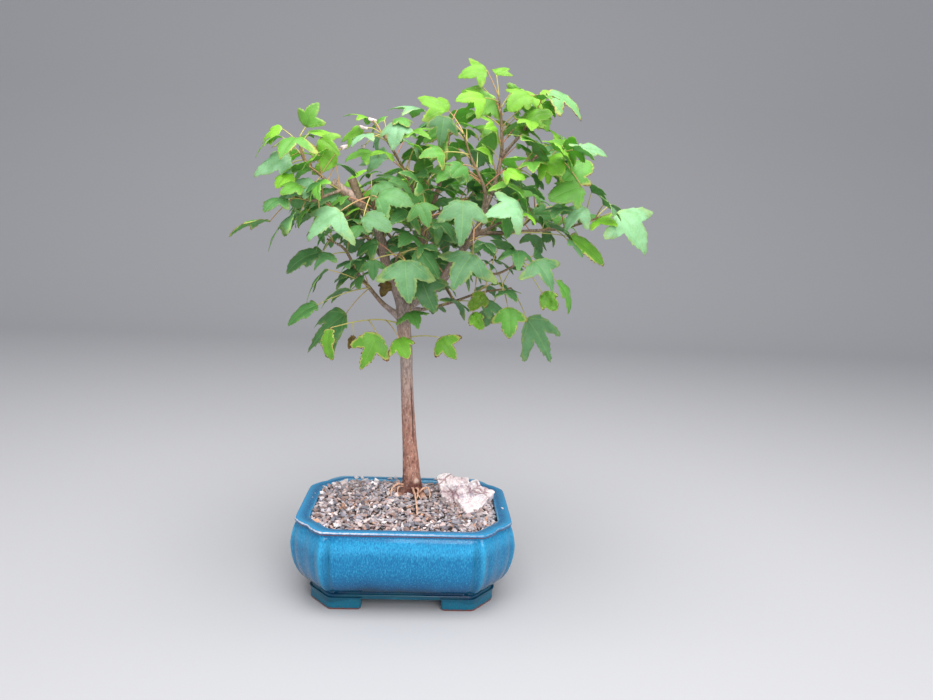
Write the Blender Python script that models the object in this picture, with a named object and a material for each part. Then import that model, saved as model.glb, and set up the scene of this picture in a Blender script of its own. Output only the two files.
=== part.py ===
"""A trident-maple bonsai in a glazed pot, one closed solid for each real piece.

Metres, +Z up, front towards -Y. The tree is laid out in millimetres from the middle of the trunk
where it leaves the gravel, and is scaled from there to TREE_HEIGHT.
"""

import math
from typing import NamedTuple

import bmesh
import bpy
from mathutils import Matrix, Vector, noise
from mathutils.bvhtree import BVHTree
from mathutils.geometry import intersect_point_line

GAP = 0.0003  # clearance between pieces that touch

# Pot, measured over the outer edge of its rim.
POT_WIDTH = 0.200
POT_DEPTH = 0.160
POT_HEIGHT = 0.0795
CORNER_CUT_X = 0.027
CORNER_CUT_Y = 0.033
BELLY_BULGE = 0.0032
BELLY_SHARE = 0.66  # how far up from the cove to the rim the belly is widest
COVE_INSET = 0.0175
BAND_INSET = 0.0155
BAND_HEIGHT = 0.0050
COVE_HEIGHT = 0.0025
FOOT_HEIGHT = 0.0095
FOOT_WIDTH = 0.0105
FOOT_FRONT_RUN = 0.028
FOOT_SIDE_RUN = 0.012
FOOT_SINK = 0.0020
FOOT_PROUD = 0.0005
LIP_HEIGHT = 0.0036
RIM_WIDTH = 0.0090
RIM_FALL = 0.0014
WALL = 0.0066
FLOOR_THICKNESS = 0.0072
RIB_HEIGHT = 0.0011
RIB_REACH = 0.014
RIB_REACH_LIMIT = 0.3  # a rib's reach is at most this share of the shortest side
RIB_ROUNDING = 0.55  # share of the reach over which a corner is rounded
RIB_START = 0.2  # where on half a sine wave a rib starts and, mirrored, ends
GROOVE_SHARE = 0.6  # depth of the grooves beside a rib, as a share of its height
CORNER_POINTS = 3
BAND_CHAMFER = 0.0008
LIP_OVERHANG = 0.0004
LIP_STEP = 0.0006
LIP_CHAMFER = 0.0010
INNER_LIP_DROP = 0.0020  # how far below the lip's bottom the rim's inner edge runs back to the wall
CUT_MARGIN = 0.0020  # how far a cutter runs past what it cuts

# Drainage: a hole on each side, under a plastic mesh that a bent wire holds.
DRAIN_RADIUS = 0.0080
DRAIN_FROM_END = 0.052
SCREEN_CELLS = 3
SCREEN_PITCH = 0.0074
SCREEN_BAR = 0.0012
SCREEN_THICKNESS = 0.0010
WIRE_RADIUS = 0.0006
WIRE_TAIL = 0.010
WIRE_BEND = 0.0015

# Soil and gravel.
GRAVEL_DEPTH = 0.0075
GRAVEL_BELOW_RIM = 0.0050
MOUND_HEIGHT = 0.0078
MOUND_WIDTH = 0.055
GRAVEL_ROUGHNESS = 0.0009
GRAVEL_BUMPS = 240  # bumps' spatial frequency, per metre
GRAVEL_CALM_EDGE = 0.020  # the mound fades out over this width along the rim
GRAVEL_RINGS = 6

# Tree: its foot in the pot, its height, and the height that it is laid out at. The rock lies beside it.
TREE_FROM_END = 0.096
TRUNK_Y = 0.027
ROCK_FROM_TRUNK = (0.053, -0.017)
TREE_HEIGHT = 0.421
LAID_OUT_HEIGHT = 0.421
WOOD_THICKNESS = 1.0
BEND_STEPS = 2  # points on each stretch between two laid-out points of a limb

# Leaves: a laid-out blade is LAID_OUT_BLADE times its own share of this length.
LEAF_LENGTH = 0.035
LAID_OUT_BLADE = 0.035
LEAF_THICKNESS = 0.0006
STALK_WIDTH = 0.0011
LOBE_SPREAD = 0.56  # half width over the side lobes, as a share of the blade
BLADE_ARCH = 0.10
BLADE_FOLD = 0.22
TIP_DROOP = 1.2  # how far the tip hangs, in arches
STALK_ARCH = 0.10
SWING_STEP = math.radians(7)
SWING_TRIES = 14

TREE_SCALE = TREE_HEIGHT / LAID_OUT_HEIGHT
BAND_TOP = FOOT_HEIGHT + BAND_HEIGHT
FLOOR_TOP = FOOT_HEIGHT + FLOOR_THICKNESS
LIP_BOTTOM = POT_HEIGHT - LIP_HEIGHT
BELLY_HEIGHT = BAND_TOP + COVE_HEIGHT + BELLY_SHARE * (LIP_BOTTOM - BAND_TOP - COVE_HEIGHT)
GRAVEL_LEVEL = POT_HEIGHT - GRAVEL_BELOW_RIM
SOIL_TOP = GRAVEL_LEVEL - GRAVEL_DEPTH
DRAIN_X = POT_WIDTH / 2 - DRAIN_FROM_END
TRUNK_X = POT_WIDTH / 2 - TREE_FROM_END
TREE_FOOT = Vector((TRUNK_X, TRUNK_Y, GRAVEL_LEVEL + MOUND_HEIGHT))
ROCK_FOOT = Vector((TRUNK_X + ROCK_FROM_TRUNK[0], TRUNK_Y + ROCK_FROM_TRUNK[1], GRAVEL_LEVEL))
SCREEN_SIDE = SCREEN_CELLS * SCREEN_PITCH
SCREEN_BOTTOM = FLOOR_TOP + GAP
WIRE_TOP = SCREEN_BOTTOM + SCREEN_THICKNESS + GAP + WIRE_RADIUS
WIRE_BOTTOM = FOOT_HEIGHT - GAP - WIRE_RADIUS
WIRE_NEAREST = (SCREEN_PITCH + SCREEN_BAR) / 2 + WIRE_RADIUS  # a leg that touches the mesh's middle bars
WIRE_FARTHEST = DRAIN_RADIUS - WIRE_RADIUS  # a leg that touches the hole's wall
WIRE_LEG = (WIRE_NEAREST + WIRE_FARTHEST) / 2

UP = Vector((0, 0, 1))
FRONT = Vector((0, -1, 0))
BACK = Vector((0, 1, 0))
LEFT = Vector((-1, 0, 0))
RIGHT = Vector((1, 0, 0))


class Limb(NamedTuple):
    """A root, branch or twig: its first and last radius and its centre line, in laid-out millimetres."""

    first_radius: float
    last_radius: float
    points: tuple


class Leaf(NamedTuple):
    """A leaf: where its blade starts and ends, in laid-out millimetres, and where its face looks."""

    base: tuple
    tip: tuple
    face: Vector


TRUNK_RADII = (10.6, 10.4, 9.2, 8.2, 7.1, 6.3, 6.0, 6.2, 7.0, 6.4)
TRUNK = (
    (1, 2, -16), (1, 0, -2), (1, 0, 6), (-1, 1, 31), (-3, 0, 54),
    (-6, -1, 93), (-8, 0, 124), (-9, 1, 145), (-12, 0, 168), (-13, 0, 186),
)

ROOTS = {
    "front": Limb(2.6, 0.9, ((2, -3, -4), (3, -12, 1), (5, -24, -1), (6, -36, -4))),
    "left": Limb(2.4, 0.9, ((-3, -2, -3), (-11, -6, 1), (-18, -12, -1), (-24, -22, -4))),
    "right": Limb(2.2, 1.1, ((4, -2, -4), (10, -9, -3), (15, -12, 3), (18, -18, 0), (19, -24, -5))),
    "back_left": Limb(2.8, 1.2, ((-3, 3, -5), (-13, 9, -2), (-24, 13, -6))),
    "back_right": Limb(2.8, 1.2, ((4, 3, -5), (14, 8, -3), (25, 10, -7))),
}

BRANCHES = {
    "left_main": Limb(5.2, 3.9, ((-13, 0, 178), (-17, -3, 196), (-24, -6, 214), (-31, -10, 231),
                                 (-35, -16, 252), (-41, -20, 265), (-52, -24, 281), (-61, -28, 308))),
    "left_upper": Limb(2.4, 0.9, ((-52, -24, 281), (-61, -30, 286), (-72, -40, 295), (-85, -46, 304),
                                  (-103, -50, 320), (-108, -46, 339))),
    "left_far": Limb(1.6, 0.8, ((-72, -40, 295), (-84, -48, 289), (-96, -50, 284), (-111, -48, 287))),
    "left_back": Limb(2.4, 1.0, ((-31, -10, 231), (-41, 0, 243), (-60, 15, 264), (-81, 35, 278),
                                 (-100, 50, 292))),
    "lower_left": Limb(2.6, 0.9, ((-12, 0, 174), (-32, -6, 190), (-46, -16, 207), (-56, -24, 220),
                                  (-68, -30, 242), (-84, -34, 251))),
    "low_left_twig": Limb(1.2, 0.7, ((-11, 0, 166), (-30, -12, 172), (-55, -24, 170), (-74, -34, 166))),
    "front_left": Limb(1.7, 0.8, ((-41, -20, 265), (-41, -38, 276), (-43, -56, 290))),
    "front_low": Limb(1.7, 0.8, ((-24, -6, 214), (-22, -26, 228), (-17, -52, 240))),
    "leader": Limb(5.0, 1.2, ((-12, 0, 178), (-4, 4, 200), (2, 8, 222), (5, 12, 246), (10, 14, 274),
                              (17, 14, 303), (23, 12, 332), (27, 10, 364))),
    "centre_left": Limb(2.3, 0.9, ((5, 12, 246), (-3, 0, 268), (-6, -12, 291), (-10, -18, 308),
                                   (-25, -28, 333), (-36, -32, 348))),
    "front_mid": Limb(2.0, 0.8, ((2, 8, 222), (2, -20, 240), (4, -46, 260), (10, -64, 280))),
    "right_main": Limb(4.4, 2.8, ((-11, 0, 186), (8, -5, 200), (22, -10, 212), (29, -14, 226),
                                  (44, -20, 248), (54, -26, 262), (59, -30, 279))),
    "right_far": Limb(1.9, 0.9, ((54, -26, 262), (83, -24, 264), (122, -26, 268), (137, -30, 270),
                                 (157, -34, 277), (168, -36, 281))),
    "right_front": Limb(1.8, 0.8, ((54, -26, 262), (66, -34, 267), (80, -46, 275), (90, -55, 278))),
    "front_right": Limb(1.6, 0.8, ((44, -20, 248), (47, -42, 256), (50, -62, 266))),
    "top_right": Limb(2.5, 1.0, ((59, -30, 279), (67, -26, 299), (75, -20, 334), (74, -16, 366),
                                 (71, -14, 388))),
    "top_front": Limb(2.0, 0.9, ((59, -30, 279), (60, -40, 298), (54, -48, 312), (44, -55, 330),
                                 (38, -58, 347))),
    "right_high": Limb(1.7, 0.9, ((75, -20, 334), (95, -28, 358), (104, -31, 370), (108, -32, 384))),
    "right_mid": Limb(1.8, 0.8, ((67, -26, 299), (81, -34, 314), (95, -40, 325), (110, -45, 334),
                                 (127, -46, 332))),
    "low_right": Limb(1.9, 0.9, ((29, -14, 226), (48, -26, 226), (63, -36, 225), (76, -42, 226),
                                 (95, -48, 237))),
    "low_back": Limb(2.0, 0.9, ((-11, 0, 184), (12, 14, 186), (38, 28, 193), (65, 42, 202),
                                (98, 46, 208))),
    "back_left": Limb(2.2, 0.9, ((2, 8, 222), (-20, 30, 246), (-45, 52, 272), (-62, 70, 292))),
    "back_mid": Limb(2.0, 0.9, ((5, 12, 246), (8, 40, 270), (8, 62, 296), (4, 76, 318))),
    "back_right": Limb(2.0, 0.9, ((10, 14, 274), (35, 38, 291), (60, 58, 305), (84, 68, 318))),
    "back_low": Limb(1.5, 0.8, ((38, 28, 193), (24, 48, 212), (4, 62, 236))),
    "back_far_right": Limb(1.4, 0.8, ((83, -24, 264), (100, 5, 271), (112, 28, 280), (119, 44, 292))),
}

LEAVES = {
    "left": (
        Leaf((-115, -48, 322), (-147, -56, 305), UP + FRONT),
        Leaf((-108, -42, 352), (-99, -44, 374), FRONT + UP),
        Leaf((-92, -54, 299), (-119, -61, 284), UP + FRONT),
        Leaf((-134, -44, 264), (-171, -48, 253), UP),
        Leaf((-104, -58, 273), (-134, -66, 241), UP + LEFT),
        Leaf((-67, -74, 275), (-94, -88, 250), FRONT + UP),
        Leaf((-88, -30, 238), (-121, -38, 220), UP + FRONT),
        Leaf((-76, -50, 223), (-97, -58, 196), UP + LEFT),
        Leaf((-91, -40, 192), (-118, -46, 172), UP + FRONT),
        Leaf((-70, 10, 178), (-112, 14, 138), FRONT + UP),
        Leaf((-80, -46, 163), (-79, -50, 135), LEFT + FRONT),
    ),
    "front": (
        Leaf((-38, -36, 164), (-49, -44, 131), FRONT),
        Leaf((-15, -36, 156), (-5, -52, 141), FRONT + UP),
        Leaf((-36, -72, 288), (-4, -86, 284), FRONT + UP),
        Leaf((-46, -86, 271), (-22, -97, 261), UP + FRONT),
        Leaf((-10, -76, 233), (-5, -94, 199), FRONT + UP),
        Leaf((20, -56, 362), (17, -66, 335), FRONT),
        Leaf((38, -86, 288), (37, -106, 251), FRONT + UP),
        Leaf((49, -80, 243), (31, -96, 213), FRONT + UP),
        Leaf((24, -20, 161), (40, -26, 141), FRONT),
    ),
    "top": (
        Leaf((-20, -52, 354), (-24, -67, 330), FRONT + UP),
        Leaf((-46, -24, 359), (-72, -20, 366), UP),
        Leaf((24, -30, 371), (-4, -26, 385), FRONT + UP),
        Leaf((58, -16, 412), (31, -20, 405), FRONT + UP),
        Leaf((68, -10, 409), (80, 0, 420), FRONT + UP),
        Leaf((56, -34, 383), (30, -46, 380), FRONT + UP),
        Leaf((97, -44, 386), (76, -54, 372), FRONT + UP),
        Leaf((112, -36, 390), (147, -40, 370), RIGHT + FRONT + UP),
    ),
    "right": (
        Leaf((145, -30, 342), (176, -24, 340), UP + FRONT),
        Leaf((128, -50, 311), (156, -44, 332), UP + FRONT),
        Leaf((145, -60, 306), (115, -72, 295), UP + FRONT),
        Leaf((89, -82, 285), (57, -94, 280), FRONT + UP),
        Leaf((182, -44, 286), (211, -56, 250), FRONT + UP),
        Leaf((151, -50, 289), (132, -58, 266), UP + FRONT),
        Leaf((141, -34, 262), (177, -38, 240), UP * 1.6 + RIGHT + FRONT),
        Leaf((103, -76, 239), (121, -88, 214), FRONT + UP),
        Leaf((130, -42, 221), (146, -44, 192), RIGHT + FRONT),
        Leaf((84, -60, 193), (86, -66, 169), FRONT),
        Leaf((112, 18, 179), (144, 24, 134), FRONT + UP),
    ),
    "back": (
        Leaf((-72, 82, 300), (-96, 98, 284), UP + BACK),
        Leaf((-14, 90, 328), (-28, 115, 314), UP + BACK),
        Leaf((24, 90, 336), (32, 116, 322), UP + BACK),
        Leaf((92, 84, 326), (112, 104, 312), UP + BACK),
        Leaf((124, 58, 300), (150, 72, 286), UP + RIGHT),
        Leaf((-112, 60, 290), (-138, 70, 270), UP + LEFT),
        Leaf((2, 80, 250), (-6, 104, 228), UP + BACK),
        Leaf((72, 84, 282), (82, 110, 262), UP + BACK),
        Leaf((34, 36, 384), (44, 62, 376), UP + BACK),
    ),
}


# ---------------------------------------------------------------- shared helpers


def clear_scene():
    for obj in list(bpy.data.objects):
        bpy.data.objects.remove(obj, do_unlink=True)


def make_material(name, colour, roughness, metallic=0.0):
    material = bpy.data.materials.new(name)
    material.use_nodes = True
    shader = material.node_tree.nodes["Principled BSDF"]
    shader.inputs["Base Color"].default_value = (*colour, 1.0)
    shader.inputs["Roughness"].default_value = roughness
    shader.inputs["Metallic"].default_value = metallic
    material.diffuse_color = (*colour, 1.0)
    return material


def add_object(name, bm, material=None, smooth=False):
    """Turns a bmesh into a scene object with its faces out, and frees the bmesh."""
    bmesh.ops.recalc_face_normals(bm, faces=bm.faces)
    for face in bm.faces:
        face.smooth = smooth
    mesh = bpy.data.meshes.new(name)
    bm.to_mesh(mesh)
    bm.free()
    obj = bpy.data.objects.new(name, mesh)
    bpy.context.scene.collection.objects.link(obj)
    if material:
        mesh.materials.append(material)
    return obj


def bake_modifiers(obj):
    """Makes the object's evaluated shape its own mesh."""
    bpy.context.view_layer.update()
    evaluated = obj.evaluated_get(bpy.context.evaluated_depsgraph_get())
    mesh = bpy.data.meshes.new_from_object(evaluated)
    obj.modifiers.clear()
    obj.data = mesh


def combine(obj, others, operation):
    """Applies one Boolean with all the others at once, and removes them."""
    tools = bpy.data.collections.new(obj.name + "_tools")
    for other in others:
        for owner in other.users_collection:
            owner.objects.unlink(other)
        tools.objects.link(other)
    bpy.context.scene.collection.children.link(tools)
    modifier = obj.modifiers.new("Combine", "BOOLEAN")
    modifier.operation = operation
    modifier.operand_type = "COLLECTION"
    modifier.collection = tools
    modifier.solver = "EXACT"
    bake_modifiers(obj)
    for other in others:
        bpy.data.objects.remove(other, do_unlink=True)
    bpy.data.collections.remove(tools)


def flat_face(bm, points, height=0.0):
    """One level face through the points, in their order."""
    return bm.faces.new([bm.verts.new((x, y, height)) for x, y in points])


def block(name, low, high):
    """A box from corner to corner."""
    bm = bmesh.new()
    size = Vector(high) - Vector(low)
    middle = (Vector(high) + Vector(low)) / 2
    bmesh.ops.create_cube(bm, size=1, matrix=Matrix.Translation(middle) @ Matrix.Diagonal((*size, 1)))
    return add_object(name, bm)


def upright_cylinder(name, centre, radius, low, high, sides=28):
    bm = bmesh.new()
    place = Matrix.Translation((centre[0], centre[1], (low + high) / 2))
    bmesh.ops.create_cone(bm, cap_ends=True, segments=sides, radius1=radius, radius2=radius,
                          depth=high - low, matrix=place)
    return add_object(name, bm)


def tube(name, points, radii, bevel_resolution=1, smooth=True):
    """A round bar along a line of points, as a mesh."""
    curve = bpy.data.curves.new(name, "CURVE")
    curve.dimensions = "3D"
    curve.bevel_depth = 1.0
    curve.bevel_resolution = bevel_resolution
    curve.use_fill_caps = True
    spline = curve.splines.new("POLY")
    spline.points.add(len(points) - 1)
    for spot, point, radius in zip(spline.points, points, radii):
        spot.co = (*point, 1.0)
        spot.radius = radius
    holder = bpy.data.objects.new(name + "_curve", curve)
    bpy.context.scene.collection.objects.link(holder)
    bpy.context.view_layer.update()
    evaluated = holder.evaluated_get(bpy.context.evaluated_depsgraph_get())
    bm = bmesh.new()
    bm.from_mesh(bpy.data.meshes.new_from_object(evaluated))
    bmesh.ops.remove_doubles(bm, verts=bm.verts, dist=1e-6)
    bpy.data.objects.remove(holder, do_unlink=True)
    return add_object(name, bm, smooth=smooth)


def smooth_line(points, steps):
    """Points on a Catmull-Rom curve through the given ones, with `steps` for each stretch."""
    ends = [2 * points[0] - points[1], *points, 2 * points[-1] - points[-2]]
    line = []
    for a, b, c, d in zip(ends, ends[1:], ends[2:], ends[3:]):
        for step in range(steps):
            t = step / steps
            line.append(0.5 * (2 * b + (c - a) * t + (2 * a - 5 * b + 4 * c - d) * t ** 2
                               + (3 * b - a - 3 * c + d) * t ** 3))
    return [*line, points[-1]]


# ---------------------------------------------------------------- pot outline


def rim_corners(offset):
    """The eight corners of the cut-corner rectangle, moved out by the offset, anticlockwise."""
    half_width = POT_WIDTH / 2
    half_depth = POT_DEPTH / 2
    quarter = ((half_width, half_depth - CORNER_CUT_Y), (half_width - CORNER_CUT_X, half_depth))
    corners = [Vector((x, y)) for x, y in quarter]
    corners += [Vector((-x, y)) for x, y in reversed(quarter)]
    corners += [Vector((-x, -y)) for x, y in quarter]
    corners += [Vector((x, -y)) for x, y in reversed(quarter)]
    moved = []
    for i, corner in enumerate(corners):
        before = (corner - corners[i - 1]).normalized()
        after = (corners[(i + 1) % 8] - corner).normalized()
        out_before = Vector((before.y, -before.x))
        out_after = Vector((after.y, -after.x))
        moved.append(corner + (out_before + out_after) * offset / (1 + out_before.dot(out_after)))
    return moved


def outline(offset, relief=0.0):
    """The outline with rounded corners. Relief raises a soft rib on each corner, between two grooves."""
    corners = rim_corners(offset)
    shortest = min((corners[i] - corners[i - 1]).length for i in range(8))
    reach = min(RIB_REACH, RIB_REACH_LIMIT * shortest)
    points = []
    for i, corner in enumerate(corners):
        before = (corners[i - 1] - corner).normalized()
        after = (corners[(i + 1) % 8] - corner).normalized()
        outward = -(before + after).normalized()
        groove = outward * RIB_HEIGHT * GROOVE_SHARE * relief
        points.append(corner + before * reach - groove)
        for step in range(CORNER_POINTS):
            t = step / (CORNER_POINTS - 1)
            start = corner + before * reach * RIB_ROUNDING
            end = corner + after * reach * RIB_ROUNDING
            wave = math.sin(math.pi * (RIB_START + (1 - 2 * RIB_START) * t))
            rib = outward * RIB_HEIGHT * relief * wave
            points.append(start * (1 - t) ** 2 + corner * 2 * t * (1 - t) + end * t ** 2 + rib)
        points.append(corner + after * reach - groove)
    return points


def add_ring(bm, flat_points, height):
    """A closed ring of edges. The height is a number, or a function of x and y."""
    verts = []
    for x, y in flat_points:
        verts.append(bm.verts.new((x, y, height(x, y) if callable(height) else height)))
    return [bm.edges.new((verts[i - 1], verts[i])) for i in range(len(verts))]


def loft(rings):
    """A closed body through rings of (flat points, height), with a flat cap on both ends."""
    bm = bmesh.new()
    edges = [add_ring(bm, points, height) for points, height in rings]
    for lower, upper in zip(edges, edges[1:]):
        bmesh.ops.bridge_loops(bm, edges=lower + upper)
    for end in (edges[0], edges[-1]):
        bmesh.ops.contextual_create(bm, geom=end)
    bmesh.ops.triangulate(bm, faces=bm.faces)
    return bm


def inner_wall(clearance, top, steps=5):
    """Rings up the inside of the pot, kept `clearance` inside it, from its floor to the height `top`."""
    low = FLOOR_TOP
    floor_inset = COVE_INSET + WALL
    wall_inset = WALL - BELLY_BULGE
    rings = []
    for step in range(steps + 1):
        turn = math.pi / 2 * step / steps
        inset = floor_inset - (floor_inset - wall_inset) * math.sin(turn)
        height = low + (BELLY_HEIGHT - low) * (1 - math.cos(turn))
        rings.append((-inset, height))
    rings.append((-wall_inset, BELLY_HEIGHT + 0.3 * (LIP_BOTTOM - BELLY_HEIGHT)))
    rings.append((-RIM_WIDTH, LIP_BOTTOM - INNER_LIP_DROP))
    rings.append((-RIM_WIDTH, POT_HEIGHT - RIM_FALL))
    kept = [ring for ring in rings if ring[1] < top - GAP]
    offset, height = kept[-1]
    next_offset, next_height = rings[len(kept)] if len(kept) < len(rings) else (offset, top + 1)
    share = (top - height) / (next_height - height)
    kept.append((offset + (next_offset - offset) * share, top))
    return [(offset - clearance, height) for offset, height in kept]


def outer_wall(steps=6):
    """Rings up the outside of the pot: base band, cove, belly, lip and rim, as (offset, height, relief)."""
    cove_top = BAND_TOP + COVE_HEIGHT
    rings = [(-BAND_INSET, FOOT_HEIGHT, 0.0), (-BAND_INSET, BAND_TOP - BAND_CHAMFER, 0.0),
             (-BAND_INSET - BAND_CHAMFER, BAND_TOP, 0.0)]
    for step in range(steps + 1):
        turn = math.pi / 2 * step / steps
        offset = -COVE_INSET + (BELLY_BULGE + COVE_INSET) * math.sin(turn)
        height = cove_top + (BELLY_HEIGHT - cove_top) * (1 - math.cos(turn))
        rings.append((offset, height, 0.3 + 0.7 * step / steps))
    shoulder = LIP_BOTTOM - LIP_STEP
    for share, bulge in ((0.45, 0.80), (0.80, 0.35), (1.0, -0.15)):
        rings.append((BELLY_BULGE * bulge, BELLY_HEIGHT + share * (shoulder - BELLY_HEIGHT), 1 - share))
    rings.append((LIP_OVERHANG, LIP_BOTTOM, 0.0))
    rings.append((LIP_OVERHANG, POT_HEIGHT - LIP_CHAMFER, 0.0))
    rings.append((LIP_OVERHANG - LIP_CHAMFER, POT_HEIGHT, 0.0))
    return rings


# ---------------------------------------------------------------- pot and drainage


def foot_solid(name, mirror_x, mirror_y):
    """One foot, bent around the cut corner at the front right, then mirrored into its own corner."""
    outer = rim_corners(-BAND_INSET + FOOT_PROUD)
    inner = rim_corners(-BAND_INSET - FOOT_WIDTH)
    front_corner, side_corner = 6, 7
    front_end = outer[front_corner].x - FOOT_FRONT_RUN
    side_end = outer[side_corner].y + FOOT_SIDE_RUN
    plan = [
        (front_end, outer[front_corner].y), outer[front_corner], outer[side_corner],
        (outer[side_corner].x, side_end), (inner[side_corner].x, side_end),
        inner[side_corner], inner[front_corner], (front_end, inner[front_corner].y),
    ]
    bm = bmesh.new()
    base = flat_face(bm, [(x * mirror_x, y * mirror_y) for x, y in plan])
    raised = bmesh.ops.extrude_face_region(bm, geom=[base])["geom"]
    top = [item for item in raised if isinstance(item, bmesh.types.BMVert)]
    bmesh.ops.translate(bm, verts=top, vec=(0, 0, FOOT_HEIGHT + FOOT_SINK))
    return add_object(name, bm)


def make_pot():
    outside = [(outline(offset, relief), height) for offset, height, relief in outer_wall()]
    inside = [(outline(offset), height) for offset, height in inner_wall(0.0, POT_HEIGHT - RIM_FALL)]
    glaze = make_material("glazed_blue", (0.03, 0.22, 0.42), 0.12)
    pot = add_object("pot", loft(outside + inside[::-1]), glaze, smooth=True)
    feet = [foot_solid(f"foot_{x}_{y}", x, y) for x in (-1, 1) for y in (-1, 1)]
    combine(pot, feet, "UNION")
    holes = []
    for side in (-1, 1):
        top = FLOOR_TOP + CUT_MARGIN
        holes.append(upright_cylinder("drain", (side * DRAIN_X, 0), DRAIN_RADIUS, CUT_MARGIN, top))
    combine(pot, holes, "DIFFERENCE")
    return pot


def make_drain_screen(name, x):
    """A square plastic mesh over a drain hole, with SCREEN_CELLS openings each way."""
    bm = bmesh.new()
    bmesh.ops.create_grid(bm, x_segments=SCREEN_CELLS, y_segments=SCREEN_CELLS, size=SCREEN_SIDE / 2,
                          matrix=Matrix.Translation((x, 0, SCREEN_BOTTOM)))
    openings = list(bm.faces)
    bmesh.ops.inset_individual(bm, faces=openings, thickness=SCREEN_BAR / 2)
    bmesh.ops.delete(bm, geom=openings, context="FACES")
    sheet = bmesh.ops.extrude_face_region(bm, geom=list(bm.faces))["geom"]
    top = [item for item in sheet if isinstance(item, bmesh.types.BMVert)]
    bmesh.ops.translate(bm, verts=top, vec=(0, 0, SCREEN_THICKNESS))
    return add_object(name, bm, make_material(name + "_plastic", (0.02, 0.02, 0.02), 0.6))


def make_screen_wire(name, x):
    """The wire's legs go down through the mesh and the hole and spread under the pot."""
    half = [
        (0.0, WIRE_TOP), (WIRE_LEG - WIRE_BEND, WIRE_TOP), (WIRE_LEG, WIRE_TOP - WIRE_BEND),
        (WIRE_LEG, WIRE_BOTTOM + WIRE_BEND), (WIRE_LEG + WIRE_BEND, WIRE_BOTTOM),
        (WIRE_LEG + WIRE_TAIL, WIRE_BOTTOM),
    ]
    left = [Vector((x - across, 0, height)) for across, height in reversed(half)]
    right = [Vector((x + across, 0, height)) for across, height in half[1:]]
    points = left + right
    wire = tube(name, points, [WIRE_RADIUS] * len(points))
    wire.data.materials.append(make_material(name + "_aluminium", (0.55, 0.53, 0.50), 0.4, 1.0))
    return wire


# ---------------------------------------------------------------- soil, gravel and rock


def gravel_height(x, y):
    """The gravel's surface: level, with a mound behind and left of the middle where the trunk stands."""
    away = Vector((x, y)) - Vector((TRUNK_X, TRUNK_Y))
    mound = MOUND_HEIGHT * math.exp(-away.length_squared / MOUND_WIDTH ** 2)
    bumps = GRAVEL_ROUGHNESS * noise.noise(Vector((x, y, 0.0)) * GRAVEL_BUMPS)
    edge = min(POT_WIDTH / 2 - abs(x), POT_DEPTH / 2 - abs(y)) - RIM_WIDTH
    calm = min(1.0, max(0.0, edge / GRAVEL_CALM_EDGE))
    return GRAVEL_LEVEL + mound * calm + bumps


def make_potting_soil(cutters):
    rings = [(outline(offset), height) for offset, height in inner_wall(GAP, SOIL_TOP)]
    rings[0] = (rings[0][0], FLOOR_TOP + GAP)
    material = make_material("potting_soil", (0.07, 0.045, 0.03), 0.95)
    soil = add_object("potting_soil", loft(rings), material)
    pockets = []
    reach = SCREEN_SIDE / 2 + GAP
    leg = WIRE_LEG + WIRE_RADIUS + GAP
    for side in (-1, 1):
        x = side * DRAIN_X
        pockets.append(block("screen_pocket", (x - reach, -reach, FLOOR_TOP - CUT_MARGIN),
                             (x + reach, reach, SCREEN_BOTTOM + SCREEN_THICKNESS + GAP)))
        pockets.append(block("wire_pocket", (x - leg, -WIRE_RADIUS - GAP, FLOOR_TOP - CUT_MARGIN),
                             (x + leg, WIRE_RADIUS + GAP, WIRE_TOP + WIRE_RADIUS + GAP)))
    combine(soil, pockets + cutters, "DIFFERENCE")
    return soil


def make_gravel(cutters):
    bottom = SOIL_TOP + GAP
    rings = [(outline(offset), height) for offset, height in inner_wall(GAP, GRAVEL_LEVEL)
             if height > bottom]
    rings.insert(0, (outline(inner_wall(GAP, bottom)[-1][0]), bottom))
    edge = outline(-RIM_WIDTH - GAP)
    rings[-1] = (edge, GRAVEL_LEVEL)
    for ring in range(1, GRAVEL_RINGS):
        share = 1 - ring / GRAVEL_RINGS
        rings.append(([point * share for point in edge], gravel_height))
    material = make_material("mixed_gravel", (0.32, 0.27, 0.24), 0.85)
    gravel = add_object("gravel_top_dressing", loft(rings), material)
    combine(gravel, cutters, "DIFFERENCE")
    return gravel


ROCK_POINTS = (
    (-28, 17, 17), (-23, 21, 22), (-10, 21, 27), (0, 23, 22), (12, 24, 18), (23, 17, 13),
    (29, 4, 7), (19, -17, 2), (5, -28, 0), (-3, -24, 1), (-12, -13, 3), (-22, 1, 5), (-4, -2, 22),
    (6, -10, 16), (16, 6, 16), (-26, 18, -4), (-21, 0, -4), (5, -24, -4), (23, 2, -4), (15, 24, -4),
    (-11, 30, -4),
)


def make_rock(name, grow):
    """The quartz lump, its points in millimetres from its own middle at the gravel's level."""
    bm = bmesh.new()
    points = [ROCK_FOOT + Vector(point) / 1000 for point in ROCK_POINTS]
    middle = sum(points, Vector()) / len(points)
    for point in points:
        bm.verts.new(point + (point - middle).normalized() * grow)
    hull = bmesh.ops.convex_hull(bm, input=bm.verts)
    bmesh.ops.delete(bm, geom=hull["geom_interior"], context="VERTS")
    return add_object(name, bm, make_material(name + "_quartz", (0.83, 0.74, 0.70), 0.55))


# ---------------------------------------------------------------- wood


def in_tree(point):
    """A laid-out point as a place in the scene."""
    return TREE_FOOT + Vector(point) * 0.001 * TREE_SCALE


def limb_line(limb):
    """The limb's centre line and its radius at each point."""
    line = smooth_line([in_tree(point) for point in limb.points], BEND_STEPS)
    radii = []
    for i in range(len(line)):
        share = i / (len(line) - 1)
        radius = limb.first_radius + (limb.last_radius - limb.first_radius) * share
        radii.append(radius * 0.001 * WOOD_THICKNESS * TREE_SCALE)
    return line, radii


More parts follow.
